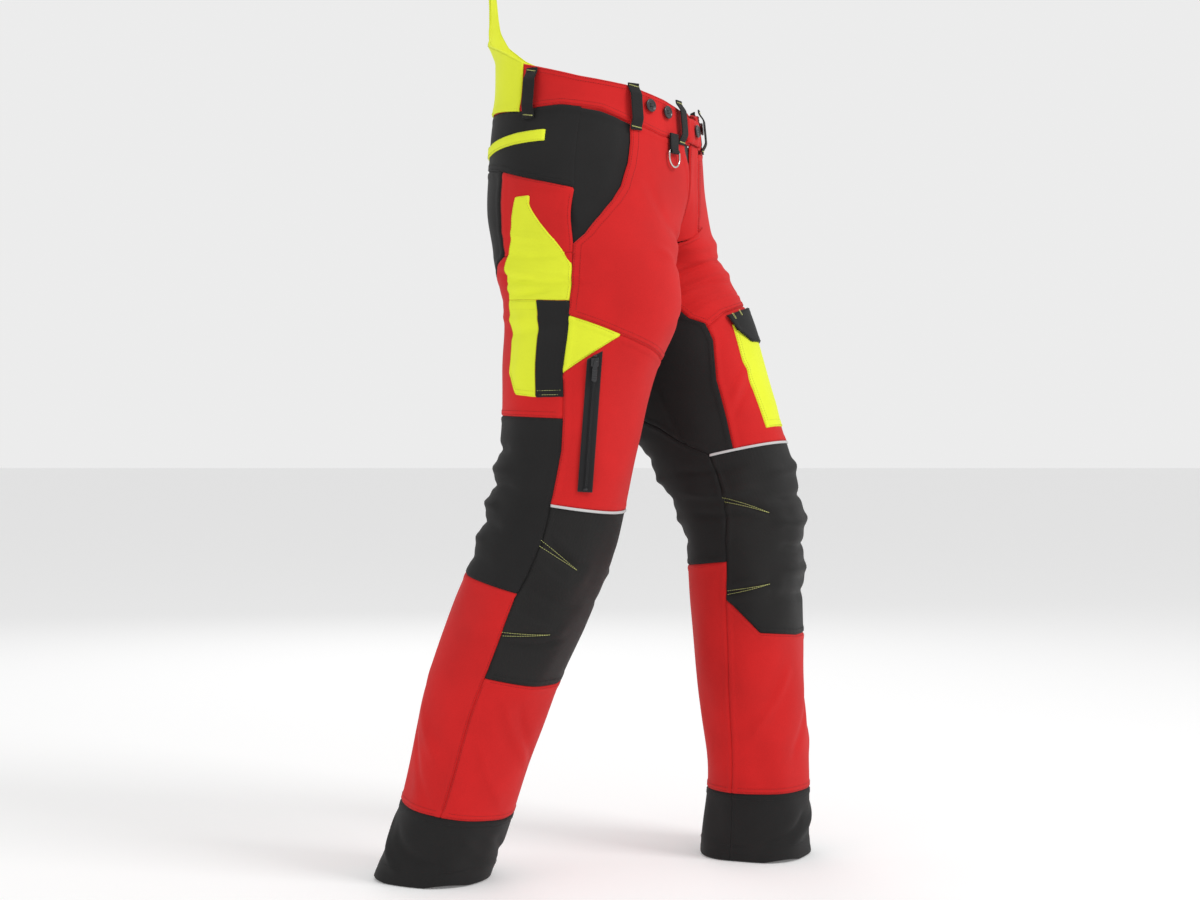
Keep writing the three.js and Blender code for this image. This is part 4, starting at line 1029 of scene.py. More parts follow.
def gusset_seam(patch, angle, level):
    """A second seam runs down inside the gusset, with its allowance standing to one side."""
    away = (angle - np.interp(level, [440, 560, 640, 760], [172, 186, 190, 186])) * MM_PER_DEGREE
    return -1.0 * np.exp(-((away / 1.4) ** 2)) + 0.4 * (ease(0.5, 2, away) - ease(8, 10, away))


DARTS = {
    RIGHT: [[[13.5, 445], [55, 417]], [[13.5, 438], [55, 417]], [[9.5, 329], [53.5, 337]],
    [[11, 325], [53.5, 337]]],
    LEFT: [[[175.5, 488], [134.5, 460]], [[175, 482], [134.5, 460]], [[181, 365], [138, 370]],
    [[181, 360], [138, 370]]],
}
MIRRORED_DARTS = {
    RIGHT: [[[174, 445], [136, 419]], [[174, 438], [136, 419]], [[181, 329], [138, 338]],
    [[181, 324], [138, 338]]],
    LEFT: [[[15, 488], [54, 461]], [[15, 482], [54, 461]], [[10, 366], [52, 371]], [[10, 361], [52, 371]]],
}


def dart_shape(side):
    """Knee darts: each V pinches the cloth into a hollow, with a swell of fullness beyond its tip."""
    def shape(patch, angle, level):
        lift = np.zeros(angle.shape)
        for first, second in zip(*[iter(DARTS[side] + MIRRORED_DARTS[side])] * 2):
            start = (np.array(first[0]) + second[0]) / 2
            tip = np.array(first[1], float)
            span = (tip - start) * [MM_PER_DEGREE, 1]
            length = np.hypot(*span)
            x, y = (angle - start[0]) * MM_PER_DEGREE, level - start[1]
            along = (x * span[0] + y * span[1]) / length
            across = (x * span[1] - y * span[0]) / length
            inside = ease(-6, 4, along) * (1 - ease(length - 10, length + 4, along))
            lift = lift - 2.2 * np.exp(-((across / 3.2) ** 2)) * inside
            lift = lift + 1.3 * (np.exp(-(((across - 9) / 6) ** 2))
                + np.exp(-(((across + 9) / 6) ** 2))) * inside
            lift = lift + 2.4 * np.exp(-(((along - length - 16) / 16) ** 2) - (across / 16) ** 2)
        return lift
    return shape


def sew_knee_and_calf(side):
    name, place, levels = SIDES[side], on_leg(side), LEVELS[side]
    knee, low, corner, cuff = levels["kneeTop"], levels["kneeLow"], levels["corner"], levels["cuff"]
    outside, inside = seam(SIDE_SEAM, low, knee), seam(INSEAM, corner, knee)
    foot = [outside[0], [98, low], [150, low + 8], inside[0]]
    patch = Patch(foot, inside, [outside[-1], inside[-1]], outside, step=3.0)
    sew(f"knee_patch_{name}", patch, place, side, "knee", "ffpf",
        rows=[("bottom", 2.6, "black_thread"), ("bottom", 7.4, "black_thread"),
        ("left", 2.6, "black_thread")], shape=dart_shape(side))
    for start, tip in DARTS[side] + MIRRORED_DARTS[side]:
        note_stitches([start, tip], place, 0.1, "lime_thread", "garment", 3.0)

    back_low, back_top = levels["backLow"], levels["backTop"]
    outer = seam(SIDE_SEAM, back_low, back_top)
    inner = behind(seam(INSEAM, back_low, knee))
    top = [inner[-1], [205 - 360, knee + 50], [GUSSET_BACK - 360, back_top], outer[-1]]
    back = Patch([inner[0], outer[0]], outer, top, inner)
    sew(f"back_knee_{name}", back, place, side, "black", "ffff",
        rows=[("bottom", 2.6, "black_thread"), ("top", 2.6, "black_thread"), ("right", 2.6, "black_thread")])

    inner, outer = seam(INSEAM, cuff, corner), seam(SIDE_SEAM, cuff, low)
    shin = Patch([outer[0], inner[0]], inner, foot, outer)
    sew(f"calf_front_{name}", shin, place, side, "red", "ffff",
        rows=[("bottom", 2.6, "red_thread"), ("bottom", 7.4, "red_thread"),
        ("top", 2.6, "red_thread"), ("left", 2.6, "red_thread")])

    inner, outer = behind(seam(INSEAM, cuff, back_low)), seam(SIDE_SEAM, cuff, back_low)
    calf = Patch([inner[0], outer[0]], outer, [inner[-1], outer[-1]], inner)
    sew(f"calf_back_{name}", calf, place, side, "red", "ffff",
        rows=[("bottom", 2.6, "red_thread"), ("bottom", 7.4, "red_thread"),
        ("right", 2.6, "red_thread")])


def hem_shape(patch, angle, level):
    """The hem's turning is thicker, and its lower edge waves a little where it rests."""
    lower = 1 - ease(20, 26, level)
    return 0.5 * lower + 1.4 * np.sin(np.radians(angle) * 5 + 1) * (1 - ease(0, 60, level)) * 0.8


def sew_hem(side):
    name, levels = SIDES[side], LEVELS[side]
    cuff = levels["cuff"]
    hem = Patch([[-171, 0], [189, 0]], [[189, 0], [189, cuff]], [[-171, cuff], [189, cuff]],
        [[-171, 0], [-171, cuff]])
    lines = [("top", 2.6, "black_thread"), ("top", 7.4, "black_thread"), ("bottom", 21.0, "black_thread")]
    sew(f"cuff_{name}", hem, on_hem(side), side, "black", "tpfp", thickness=2.4, rows=lines, shape=hem_shape)


def make_piping(side):
    """A reflective cord in a folded tape, laid in the seam above the knee."""
    name, place, knee = SIDES[side], on_leg(side), LEVELS[side]["kneeTop"]
    low, high = float(broken(SIDE_SEAM, knee)) + 0.5, float(broken(INSEAM, knee)) - 0.5
    angle = np.linspace(low, high, 150)
    path = place(angle, np.full(angle.shape, float(knee)), np.full(angle.shape, 0.9))
    profile = ring_profile(3.6, 2.6, 12, 2.2)
    points = tube(path, profile, np.broadcast_to([0, 0, 1.0], path.shape))
    faces = tube_faces(len(path), len(profile), False)
    count = len(profile)
    along = np.repeat(np.linspace(0, 0.25, len(path)), count)
    uv = np.stack([along, np.tile(np.linspace(0, 0.01, count), len(path))], -1)
    solid(f"piping_{name}", points, faces, "silver", uv=uv)


PAD_DEPTH = {RIGHT: 4.6, LEFT: 3.1}


def quilted_pad(patch, angle, level):
    """Protective layers held by stitch lines: hollows across the pad every sixty millimetres."""
    return -1.6 * np.exp(-((np.mod(level, 60) - 30) / 4) ** 2) - 1.2 * np.exp(-((np.mod(angle,
        30) - 15) / 2.4) ** 2)


def sew_pad(side):
    name = SIDES[side]
    pad = Patch([[4, 110], [184, 110]],
        [[184, 110], [178, 500], [156, 550], [132, 650], [120, 700], [96, 750]],
                [[10, 750], [96, 750]], [[4, 110], [6, 740], [10, 750]], step=6.0)
    distances = pad.distances()
    angle, level = pad.flat[..., 0] / MM_PER_DEGREE, pad.flat[..., 1]
    height = -PAD_DEPTH[side] - 0.4 + quilted_pad(pad, angle, level) * 0.5
    for edge in EDGE_NAMES:
        height = height - 2.0 * np.exp(-((distances[edge] / 3) ** 2))
    points = on_leg(side)(angle, level, height).reshape(-1, 3) * MM
    faces = grid_faces(*angle.shape, flip=side == LEFT)
    material, slot = LOOKS["padding"]
    node_name = f"cut_protection_pad_{name}"
    mesh = make_mesh(node_name, points, faces, pad.flat.reshape(-1, 2) * MM)
    piece = add_object(node_name, mesh, material(), "garment", [node_name])
    thicken(piece, 4.6)


def pocket_corner(patch, angle, level):
    """A patch pocket stands a little fuller in its middle than at its sewn edges."""
    near = np.minimum.reduce(list(patch.distances().values()))
    return 2.0 * ease(4, 34, near)


def sew_thigh_pockets():
    right, left = on_leg(RIGHT), on_leg(LEFT)
    bag = Patch([[-41, 650], [-29, 620], [-8.4, 617]], [[-8.4, 617], [-16.2, 739]],
        [[-45, 742], [-16.2, 739]], [[-41, 650], [-45, 742]])
    lines = [("left", 2.2, "yellow_thread"), ("bottom", 2.2, "yellow_thread"),
        ("bottom", 7.4, "yellow_thread"),
             ("top", 2.2, "yellow_thread"), ("top", 12.0, "yellow_thread")]
    sew("side_pocket_right", bag, right, RIGHT, "yellow", "tppt", lift=LAYER, rows=lines, shape=pocket_corner)
    end = Patch([[-8.4, 617], [12, 618]], [[12, 618], [9, 647], [4.5, 737]], [[-16.2, 739], [4.5, 737]],
        [[-8.4, 617], [-16.2, 739]])
    lines = [("bottom", 3.0, "lime_thread"), ("bottom", 8.4, "lime_thread"), ("left", 2.2, "black_thread"),
        ("right", 2.2, "black_thread")]
    sew("side_pocket_end_right", end, right, RIGHT, "black", "tttt", lift=LAYER + 0.3, rows=lines,
        shape=pocket_corner)
    wedge = Patch([[9, 647], [41.8, 693]], [[41.8, 693], [41.8, 694.4]], [[4, 719], [41.8, 694.4]],
        [[9, 647], [4, 719]], step=2.6)
    sew("thigh_wedge_right", wedge, right, RIGHT, "yellow", "fpff", lift=0.5,
        rows=[("bottom", 2.2, "yellow_thread"), ("top", 2.2, "yellow_thread")])

    cargo = Patch([[30, 562], [112.5, 561]], [[112.5, 561], [116, 650], [113.5, 700]],
        [[26, 712], [113.5, 700]], [[30, 562], [28, 650], [26, 712]])
    lines = [("bottom", 2.2, "yellow_thread"), ("bottom", 9.0, "yellow_thread"),
        ("left", 2.2, "yellow_thread"),
             ("right", 2.2, "yellow_thread"), ("right", 7.4, "yellow_thread")]
    sew("cargo_pocket_left", cargo, left, LEFT, "yellow", "tttt", lift=LAYER, rows=lines, shape=pocket_corner)
    flap = Patch([[25, 676], [96, 674], [112.5, 691]], [[112.5, 691], [118.5, 712]],
        [[23, 733], [76, 727], [118.5, 712]], [[25, 676], [23, 733]])
    lines = [("bottom", 2.4, "black_thread"), ("left", 2.4, "black_thread"), ("right", 2.4, "black_thread"),
        ("top", 2.4, "black_thread")]
    sew("cargo_flap_left", flap, left, LEFT, "black", "tttt", lift=2 * LAYER + 3.4, thickness=2.2,
        body="pocket_flap", rows=lines)
    for start, end in ([[102, 719], [100, 711]], [[112, 714.5], [110, 706]], [[34, 730], [34, 722]],
            [[52, 729], [52, 721]]):
        for shift in (0, 0.6, 1.2):
            line = [[start[0] + shift, start[1]], [end[0] + shift, end[1]]]
            note_stitches(line, left, 2 * LAYER + 3.9, "lime_thread", "pocket_flap", 1.4)


def tab_shape(patch, angle, level):
    """The closure tab is folded on itself, so it bulges like a roll between its stitched ends."""
    across = patch.from_left / patch.from_left[:, -1:]
    climb = patch.from_bottom / patch.from_bottom[-1:]
    return 2.6 * np.sin(np.pi * climb) ** 0.7 * (0.4 + 0.6
        * np.sin(np.pi * across) ** 0.8) + 0.5 * np.sin(across * 17 + climb * 4)


def sew_closure():
    left = on_leg(LEFT)
    free = [[float(centre_angle(level)) - 0.4, level] for level in (825, 845, 870, 900, 935, FLY_TOP, TUCK)]
    stitched = [[placket_turn(level), level] for level in (840, 870, 900, 935, FLY_TOP, TUCK)]
    placket = Patch([stitched[0], free[0]], free, [stitched[-1], free[-1]], stitched)
    lines = [("right", 2.4, "red_thread"), ("left", 2.6, "red_thread")]
    sew("fly_placket_left", placket, left, LEFT, "red", "ftpf", body="front_closure", rows=lines)

    def corner(level, end):
        if end == "right":
            return [belt_angle(RIGHT, 86, level) + 360, level]
        return [belt_angle(LEFT, placket_turn(level) + 1, level), level]

    def wrapped(turn, level, lift):
        return on_belt(np.where(turn > 180, turn - 360, turn), level, lift)

    edges = [[corner(level, end) for level in (978, 1016)] for end in ("left", "right")]
    tab = Patch([edges[0][0], edges[1][0]], edges[1], [edges[0][1], edges[1][1]], edges[0], step=2.2)
    lines = [("bottom", 2.4, "red_thread"), ("top", 2.4, "red_thread"), ("right", 2.4, "red_thread")]
    sew("waist_tab", tab, wrapped, LEFT, "red", "tttt", lift=LAYER + 2.6, thickness=2.6,
        body="front_closure", rows=lines,
        shape=tab_shape)

    levels = (FLY_BOTTOM + 3, 850, 890, 930, FLY_TOP, TUCK + 8)
    teeth = [[float(centre_angle(level)) - 0.3, level] for level in levels]
    outer = [[angle - 14, level] for angle, level in teeth]
    tape = Patch([outer[0], teeth[0]], teeth, [outer[-1], teeth[-1]], outer, step=2.6)
    sew("fly_zip_tape_right", tape, on_leg(RIGHT), RIGHT, "tape", "pppp", lift=-3.0, thickness=0.8)


def make_threads():
    """All the stitches of one colour and body as one piece: each is a small arched spindle along its run."""
    trim = bpy.context.scene.trousers_trim
    half, radius = trim.stitch_length / MM / 2, trim.thread_radius / MM
    groups = {}
    for line, place, lift, colour, body, pitch in THREADS:
        flat = line * np.array([MM_PER_DEGREE, 1])
        steps = np.concatenate([[0], np.cumsum(np.hypot(*np.diff(flat, axis=0).T))])
        fine = np.linspace(0, steps[-1], max(int(steps[-1] / 1.2), 3) + 1)
        angle, level = (np.interp(fine, steps, line[:, k]) for k in (0, 1))
        here = place(angle, level, np.full(angle.shape, float(lift)))
        above = place(angle, level, np.full(angle.shape, float(lift) + 1))
        run = np.concatenate([[0], np.cumsum(np.linalg.norm(np.diff(here, axis=0), axis=1))])
        count = max(int(run[-1] / pitch), 1)
        middle = (np.arange(count) + 0.5) * run[-1] / count

        def at(values, where):
            return np.stack([np.interp(where, run, values[:, k]) for k in range(3)], -1)

        centre = at(here, middle)
        ahead = unit(at(here, middle + 0.4) - at(here, middle - 0.4))
        out = unit(at(above, middle) - centre)
        size = min(half, pitch * 0.42)
        groups.setdefault((colour, body), []).append((centre, ahead, out, np.full(count, size)))
    along = np.array([-1.0, -0.7, 0.0, 0.7, 1.0])
    width = np.array([0.4, 0.9, 1.0, 0.9, 0.4])
    turn = np.array([0.25, 0.75, 1.25, 1.75]) * np.pi
    for (colour, body), runs in sorted(groups.items()):
        centre, ahead, out, size = (np.concatenate([run[k] for run in runs]) for k in range(4))
        cross = np.cross(ahead, out)
        rise = 0.30 * (1 - along**2) - 0.05
        points = (centre[:, None, None] + ahead[:, None,
            None] * (along[None, :, None] * size[:, None, None])[..., None]
                  + out[:, None, None] * (rise[None, :, None] + radius * width[None, :,
                  None] * np.sin(turn))[..., None]
                  + cross[:, None, None] * (radius * width[None, :, None] * np.cos(turn) + 0 * size[:, None,
                  None])[..., None])
        unit_faces = tube_faces(5, 4, False)
        one = points[0].reshape(-1, 3)
        unit_faces = outward_faces(one - one.mean(0), unit_faces)
        faces = (unit_faces[None] + 20 * np.arange(len(centre))[:, None, None]).reshape(-1, 4)
        material, slot = LOOKS[colour]
        mesh = make_mesh(f"stitches_{colour}_{body}", points.reshape(-1, 3) * MM, faces,
            np.zeros((points.size // 3, 2)))
        add_object(mesh.name, mesh, material(), body)


# ---- Hardware ----------------------------------------------------------------------------------


def rounded(half_sizes, centre, axes, power=0.35, count=20):
    """A superellipsoid: sizes times powers of the cosines and sines of two angles."""
    polar = np.linspace(-np.pi / 2, np.pi / 2, count // 2 + 1)[1:-1, None]
    turn = np.linspace(0, 2 * np.pi, count, endpoint=False)[None, :]

    def bent(values):
        return np.sign(values) * np.abs(values) ** power

    local = np.stack([half_sizes[0] * bent(np.cos(polar)) * bent(np.cos(turn)) + centre[0],
                      half_sizes[1] * bent(np.cos(polar)) * bent(np.sin(turn)) + centre[1],
                      half_sizes[2] * bent(np.sin(polar)) * np.ones_like(turn) + centre[2]], -1)
    return carried(local, axes), tube_faces(count // 2 - 1, count, False)


LOOP_PLACES = {
    RIGHT: {"side": [-10, 996], "hip": [47, 1006], "front": [80, 1003]},
    LEFT: {"side": [-10, 996], "hip": [42, 1006], "front": [71, 1004]},
}


def upright_angles(place, angle, level, heights):
    """Angles that keep a line on the surface upright, found by stepping towards the upright plane."""
    origin, across, _, _ = frame_at(place, angle, level)
    angles = np.full(heights.shape, float(angle))
    for _ in range(5):
        here = place(angles, level + heights, np.zeros(heights.shape))
        near = place(angles + 1, level + heights, np.zeros(heights.shape))
        miss = (here - origin) @ across
        rate = (near - here) @ across
        angles = angles - miss / rate
    return angles, across


def make_belt_loops():
    """Each loop is a folded webbing strip: flat at its ends, lifted between them for the belt."""
    width = bpy.context.scene.trousers_trim.loop_width / MM
    for side, name in SIDES.items():
        place = on_leg(side)
        for loop, (angle, level) in LOOP_PLACES[side].items():
            heights = np.linspace(-32, 32, 61)
            angles, across = upright_angles(place, angle, level, heights)
            base = LAYER + 1.6 if loop == "side" else 1.2
            lift = base + 6.4 * ease(0, 17, 31.5 - np.abs(heights)) + 0.9 * ease(26, 32, np.abs(heights))
            path = place(angles, level + heights, lift)
            profile = ring_profile(width, 2.0, 16, 5)
            points = tube(path, profile, np.broadcast_to(across, path.shape))
            along = np.repeat(heights * MM, len(profile))
            uv = np.stack([np.tile(profile[:, 0] * MM, len(path)), along], -1)
            solid(f"belt_loop_{loop}_{name}", points, tube_faces(len(path), len(profile), False), "webbing",
                uv=uv)
            degree = float(np.linalg.norm(place(angle + 0.5, level, 0.0) - place(angle - 0.5, level, 0.0)))
            reach = (width / 2 - 1.2) / degree
            for end in (-28.6, 28.0):
                for k in range(2):
                    middle = float(np.interp(end + k * 0.7, heights, angles))
                    line = [[middle - reach, level + end + k * 0.7], [middle + reach, level + end + k * 0.7]]
                    top = float(np.interp(end + k * 0.7, heights, lift)) + 1.05
                    note_stitches(line, place, top, "lime_thread", "garment", 1.5)


def button_parts(axes, radius, base):
    """A turned disc with a raised rim and a dished face sunk at four thread holes."""
    profile = np.array([[0.3, 0], [2.1, 0], [2.2, 1.2], [radius - 1.6, 1.5], [radius - 0.5, 1.9],
        [radius, 2.8],
                        [radius - 0.2, 3.8], [radius - 0.9, 4.3], [radius - 1.7, 4.2], [radius - 2.4, 3.6]])
    inner = np.linspace(radius - 2.8, 0.3, 16)
    dish = 3.3 + 0.3 * (1 - inner / radius)
    profile = np.concatenate([profile, np.stack([inner, dish], -1)])
    local = turned_shape(profile, 48)
    spread = 1.9
    for x, z in ((1, 1), (1, -1), (-1, 1), (-1, -1)):
        away = np.hypot(local[..., 0] - x * spread * 0.8, local[..., 2] - z * spread * 0.8)
        deep = (local[..., 1] > 3.0) * 1.7 * np.exp(-((away / 0.75) ** 4))
        local[..., 1] = local[..., 1] - deep
    local[..., 1] += base
    return carried(local, axes), tube_faces(len(profile), 48, False)


BUTTON_PLACES = {
    RIGHT: {"outer": [57, 1014], "inner": [69, 1012]},
    LEFT: {"outer": [52, 1014], "inner": [61.5, 1012]},
}


def make_buttons():
    radius = bpy.context.scene.trousers_trim.button_radius / MM
    for side, name in SIDES.items():
        for button, (angle, level) in BUTTON_PLACES[side].items():
            axes = frame_at(on_leg(side), angle, level, 0.5)
            parts = [button_parts(axes, radius, 0.0)]
            joined_solid(f"brace_button_{button}_{name}", parts, "plastic")
            crossed = [rounded((2.2, 0.35, 0.3), (0, 3.75, z), axes, 0.8, 10) for z in (-1.5, 1.5)]
            joined_solid(f"button_thread_{button}_{name}", crossed, "black_thread", node=False)


def make_closure_button():
    """The dark stud on the closure tab."""
    radius = bpy.context.scene.trousers_trim.button_radius / MM
    axes = frame_at(on_leg(LEFT), 88, 998, LAYER + 4.6)
    joined_solid("closure_button", [button_parts(axes, radius, 0.0)], "plastic", "front_closure")


def joint(name):
    return next(item for item in frame["joints"] if item["name"] == name)


def make_ring_and_tab():
    """A nickel D of round wire, hanging in a tab of folded webbing."""
    swing = joint("ring_swing")
    up = frame_at(on_leg(RIGHT), 74, 956)[3]
    across = unit(np.array(swing["axis"], float))
    up = unit(up - across * np.dot(up, across))
    out = np.cross(up, across)
    if out[1] > 0:
        out = -out
    axes = (np.array(swing["pos_m"]) / MM, across, out, up)
    radius, half, drop = bpy.context.scene.trousers_trim.ring_wire / MM, 12.5, 20.0
    corner = 2.6
    turns = np.linspace(0, np.pi, 33)
    bow = np.stack([half * np.cos(turns), -drop + half - half * np.sin(turns)], -1)
    bend = np.linspace(0, np.pi / 2, 7)
    left_bend = np.stack([-half + corner - corner * np.cos(bend), -corner + corner * np.sin(bend)], -1)
    right_bend = left_bend[::-1] * np.array([-1, 1])
    bar = np.stack([np.linspace(-half + corner, half - corner, 12)[1:-1], np.zeros(10)], -1)
    line = np.concatenate([bow, left_bend, bar, right_bend])
    path = axes[0] + line[:, :1] * across + line[:, 1:] * up
    profile = ring_profile(2 * radius, 2 * radius, 14, 2)
    points = tube(path, profile, np.broadcast_to(out, path.shape), closed=True)
    solid("d_ring", points, tube_faces(len(path), len(profile), True), "nickel", "ring")

    sweep = np.radians(np.linspace(110, 430, 25))
    eye = 2.4
    loop = np.stack([eye * np.cos(sweep), eye * np.sin(sweep)], -1)
    neck = np.linspace(23, 3.2, 12)
    inner = np.stack([np.full(12, -0.72), neck], -1)
    outer = np.stack([np.full(12, 0.72), neck[::-1]], -1)
    line = np.concatenate([inner, loop, outer])
    path = axes[0] + line[:, :1] * out + line[:, 1:] * up
    profile = ring_profile(19, 1.3, 16, 5)
    points = tube(path, profile, np.broadcast_to(across, path.shape))
    along = np.repeat(np.linspace(0, 0.06, len(path)), len(profile))
    uv = np.stack([np.tile(profile[:, 0] * MM, len(path)), along], -1)
    solid("ring_tab", points, tube_faces(len(path), len(profile), False), "webbing", uv=uv)


ZIP_LENGTH = 167.05
ZIP_PIVOT = (0, 5.6, ZIP_LENGTH - 8)


def make_thigh_zip():
    """Tape, a coil of interlocked teeth, the slider and its pull, along the working slide's line."""
    swing, slide = joint("zip_pull_swing"), joint("thigh_zip_slide")
    up = -unit(np.array(slide["axis"], float))
    across = unit(np.array(swing["axis"], float))
    out = np.cross(up, across)
    origin = np.array(swing["pos_m"]) / MM - out * ZIP_PIVOT[1] - up * ZIP_PIVOT[2]
    axes = (origin, across, out, up)
    tape_z = np.linspace(-2, ZIP_LENGTH + 1, 40)
    path = origin + out * 0.35 + up * tape_z[:, None]
    profile = ring_profile(19, 1.0, 20, 6)
    points = tube(path, profile, np.broadcast_to(across, path.shape))
    slant = -0.62 * ((points - origin) @ across) * ease(ZIP_LENGTH - 12, ZIP_LENGTH, (points - origin) @ up)
    points = points + up * slant[..., None]
    teeth = []
    for k in range(int((ZIP_LENGTH - 4) / 1.5)):
        shift = 0.75 if k % 2 else -0.75
        teeth.append(rounded((1.9, 0.85, 0.5), (shift, 1.7, 3 + k * 1.5), axes, 0.6, 8))
    tape = (points, tube_faces(len(path), len(profile), False))
    stops = [rounded((2.6, 1.1, 1.2), (0, 1.8, z), axes, 0.4, 12) for z in (1.4, ZIP_LENGTH - 0.2)]
    joined_solid("thigh_zip_teeth", teeth + stops, "teeth", node=False)
    all_points, faces = tape
    uv = np.stack([np.tile(profile[:, 0] * MM, len(path)), np.repeat(tape_z * MM, len(profile))], -1)
    solid("thigh_zip", all_points, faces, "tape", uv=uv)

    middle = ZIP_LENGTH - 8
    body = [rounded((4.5, 0.75, 6.0), (0, 3.75, middle), axes, 0.4),
        rounded((0.8, 1.5, 5.2), (4.1, 2.6, middle), axes, 0.4, 14),
            rounded((0.8, 1.5, 5.2), (-4.1, 2.6, middle), axes, 0.4, 14),
            rounded((1.0, 1.0, 3.4), (0, 4.9, middle + 0.6), axes, 0.5, 14)]
    joined_solid("thigh_zip_slider", body, "slider", "zip_slider")

    length = 25.0
    tab_z = np.linspace(0, 1, 45)
    wide = 2.3 + 1.0 * ease(0.1, 0.45, tab_z) - 1.2 * ease(0.93, 1.0, tab_z)
    thick = 0.62 + 0.22 * (np.sin(tab_z * 60) > 0.2) * ease(0.35, 0.4, tab_z) * (1 - ease(0.9, 0.95, tab_z))
    section = ring_profile(2, 2, 16, 4)
    local = np.stack([section[None, :, 0] * wide[:, None],
        ZIP_PIVOT[1] + section[None, :, 1] * thick[:, None],
                      np.broadcast_to(ZIP_PIVOT[2] + 1.5 - length * tab_z[:, None], (45, 16))], -1)
    solid("thigh_zip_pull", carried(local, axes), tube_faces(45, 16, False), "slider", "zip_pull")


def make_fly_slider():
    """The fly's slider and its small pull, seated where the teeth close at the top."""
    low, high = (np.array(corner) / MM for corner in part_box("fly_slider"))
    up = -unit(np.array(joint("fly_zip_slide")["axis"], float))
    out = unit(np.array([0, -1.0, 0]) + up * up[1])
    axes = ((low + high) / 2, np.cross(out, up), out, up)
    parts = [rounded((3.4, 1.2, 5.6), (0, 0, 0), axes, 0.4),
        rounded((1.5, 0.5, 7.0), (0, 1.3, -6.0), axes, 0.5, 12)]
    joined_solid("fly_slider", parts, "nickel", "fly_zip_slider")


# ---- Stage -------------------------------------------------------------------------------------


def make_stage():
    """A pale floor, broad soft lights and the camera."""
    settings = bpy.context.scene.trousers_stage
    size = 60.0
    corners = np.array([[-size, -size, 0], [size, -size, 0], [size, size, 0], [-size, size, 0]])
    floor = bpy.data.objects.new("floor",
        make_mesh("floor", corners - [0, 0, 0.0005], np.array([[0, 1, 2, 3]])))
    bpy.context.scene.collection.objects.link(floor)
    paint = bpy.data.materials.new("pale_floor")
    paint.use_nodes = True
    paint.node_tree.nodes["Principled BSDF"].inputs["Base Color"].default_value = (0.93, 0.93, 0.93, 1)
    paint.node_tree.nodes["Principled BSDF"].inputs["Roughness"].default_value = 0.9
    paint.node_tree.nodes["Principled BSDF"].inputs["Emission Color"].default_value = (1, 1, 1, 1)
    paint.node_tree.nodes["Principled BSDF"].inputs["Emission Strength"].default_value = 0.14
    floor.data.materials.append(paint)

    world = bpy.data.worlds.new("studio")
    world.use_nodes = True
    sky = world.node_tree.nodes["Background"]
    sky.inputs["Color"].default_value = (1, 1, 1, 1)
    rays = node(world.node_tree, "ShaderNodeLightPath")
    seen = node(world.node_tree, "ShaderNodeMapRange", in_3=0.66 * settings.light, in_4=0.84)
    world.node_tree.links.new(rays.outputs["Is Camera Ray"], seen.inputs[0])
    world.node_tree.links.new(seen.outputs[0], sky.inputs["Strength"])
    bpy.context.scene.world = world
    lamps = [("key", (-0.4, -2.8, 3.1), 1.2, 52), ("fill", (-3.2, 1.8, 1.9), 2.0, 12),
        ("rim", (2.6, 1.6, 2.2), 1.8, 16)]
    for name, place, width, power in lamps:
        lamp = bpy.data.lights.new(name, "AREA")
        lamp.energy = power * settings.light
        lamp.size = width
        light = bpy.data.objects.new(name, lamp)
        light.location = place
        light.rotation_euler = (Vector((0, 0, 0.6)) - Vector(place)).to_track_quat("-Z", "Y").to_euler()
        bpy.context.scene.collection.objects.link(light)

    camera = bpy.data.cameras.new("camera")
    camera.lens = settings.lens
    camera.sensor_width = 36
    camera.clip_end = 60
    eye = bpy.data.objects.new("camera", camera)
    heading = Vector((math.sin(settings.azimuth), -math.cos(settings.azimuth), 0))
    eye.location = heading * settings.distance + Vector((0, 0, settings.height))
    eye.rotation_euler = (-heading).to_track_quat("-Z", "Y").to_euler()
    bpy.context.scene.collection.objects.link(eye)
    bpy.context.scene.camera = eye
    bpy.context.scene.view_settings.view_transform = "Standard"


# ---- Operators ---------------------------------------------------------------------------------


def both(make):
    """Makes a piece for the right half and then for the left."""
    for side in SIDES:
        make(side)


class TROUSERS_OT_stage(bpy.types.Operator):
    """Floor, lights and camera"""
    bl_idname = "trousers.stage"
    bl_label = "Stage"

    def execute(self, context):
        make_stage()
        return {"FINISHED"}


class TROUSERS_OT_waist(bpy.types.Operator):
    """Waistband, back yoke, stripe and kidney guard"""
    bl_idname = "trousers.waist"
    bl_label = "Waist"

    def execute(self, context):
        sew_waist()
        return {"FINISHED"}


class TROUSERS_OT_hips(bpy.types.Operator):
    """Pocket bags, seat, hip panels and yellow side panels"""
    bl_idname = "trousers.hips"
    bl_label = "Hips"

    def execute(self, context):
        both(sew_hip)
        return {"FINISHED"}


class TROUSERS_OT_thighs(bpy.types.Operator):
    """Thigh panels and gussets"""
    bl_idname = "trousers.thighs"
    bl_label = "Thighs"

    def execute(self, context):
        both(sew_thigh)
        return {"FINISHED"}


class TROUSERS_OT_lower_legs(bpy.types.Operator):
    """Knee patches, knee backs and calves"""
    bl_idname = "trousers.lower_legs"
    bl_label = "Lower legs"

    def execute(self, context):
        both(sew_knee_and_calf)
        return {"FINISHED"}


class TROUSERS_OT_hems(bpy.types.Operator):
    """Hems and knee piping"""
    bl_idname = "trousers.hems"
    bl_label = "Hems and piping"

    def execute(self, context):
        both(sew_hem)
        both(make_piping)
        return {"FINISHED"}


class TROUSERS_OT_pads(bpy.types.Operator):
    """Cut-protection pads inside the fronts"""
    bl_idname = "trousers.pads"
    bl_label = "Protection"

    def execute(self, context):
        both(sew_pad)
        return {"FINISHED"}


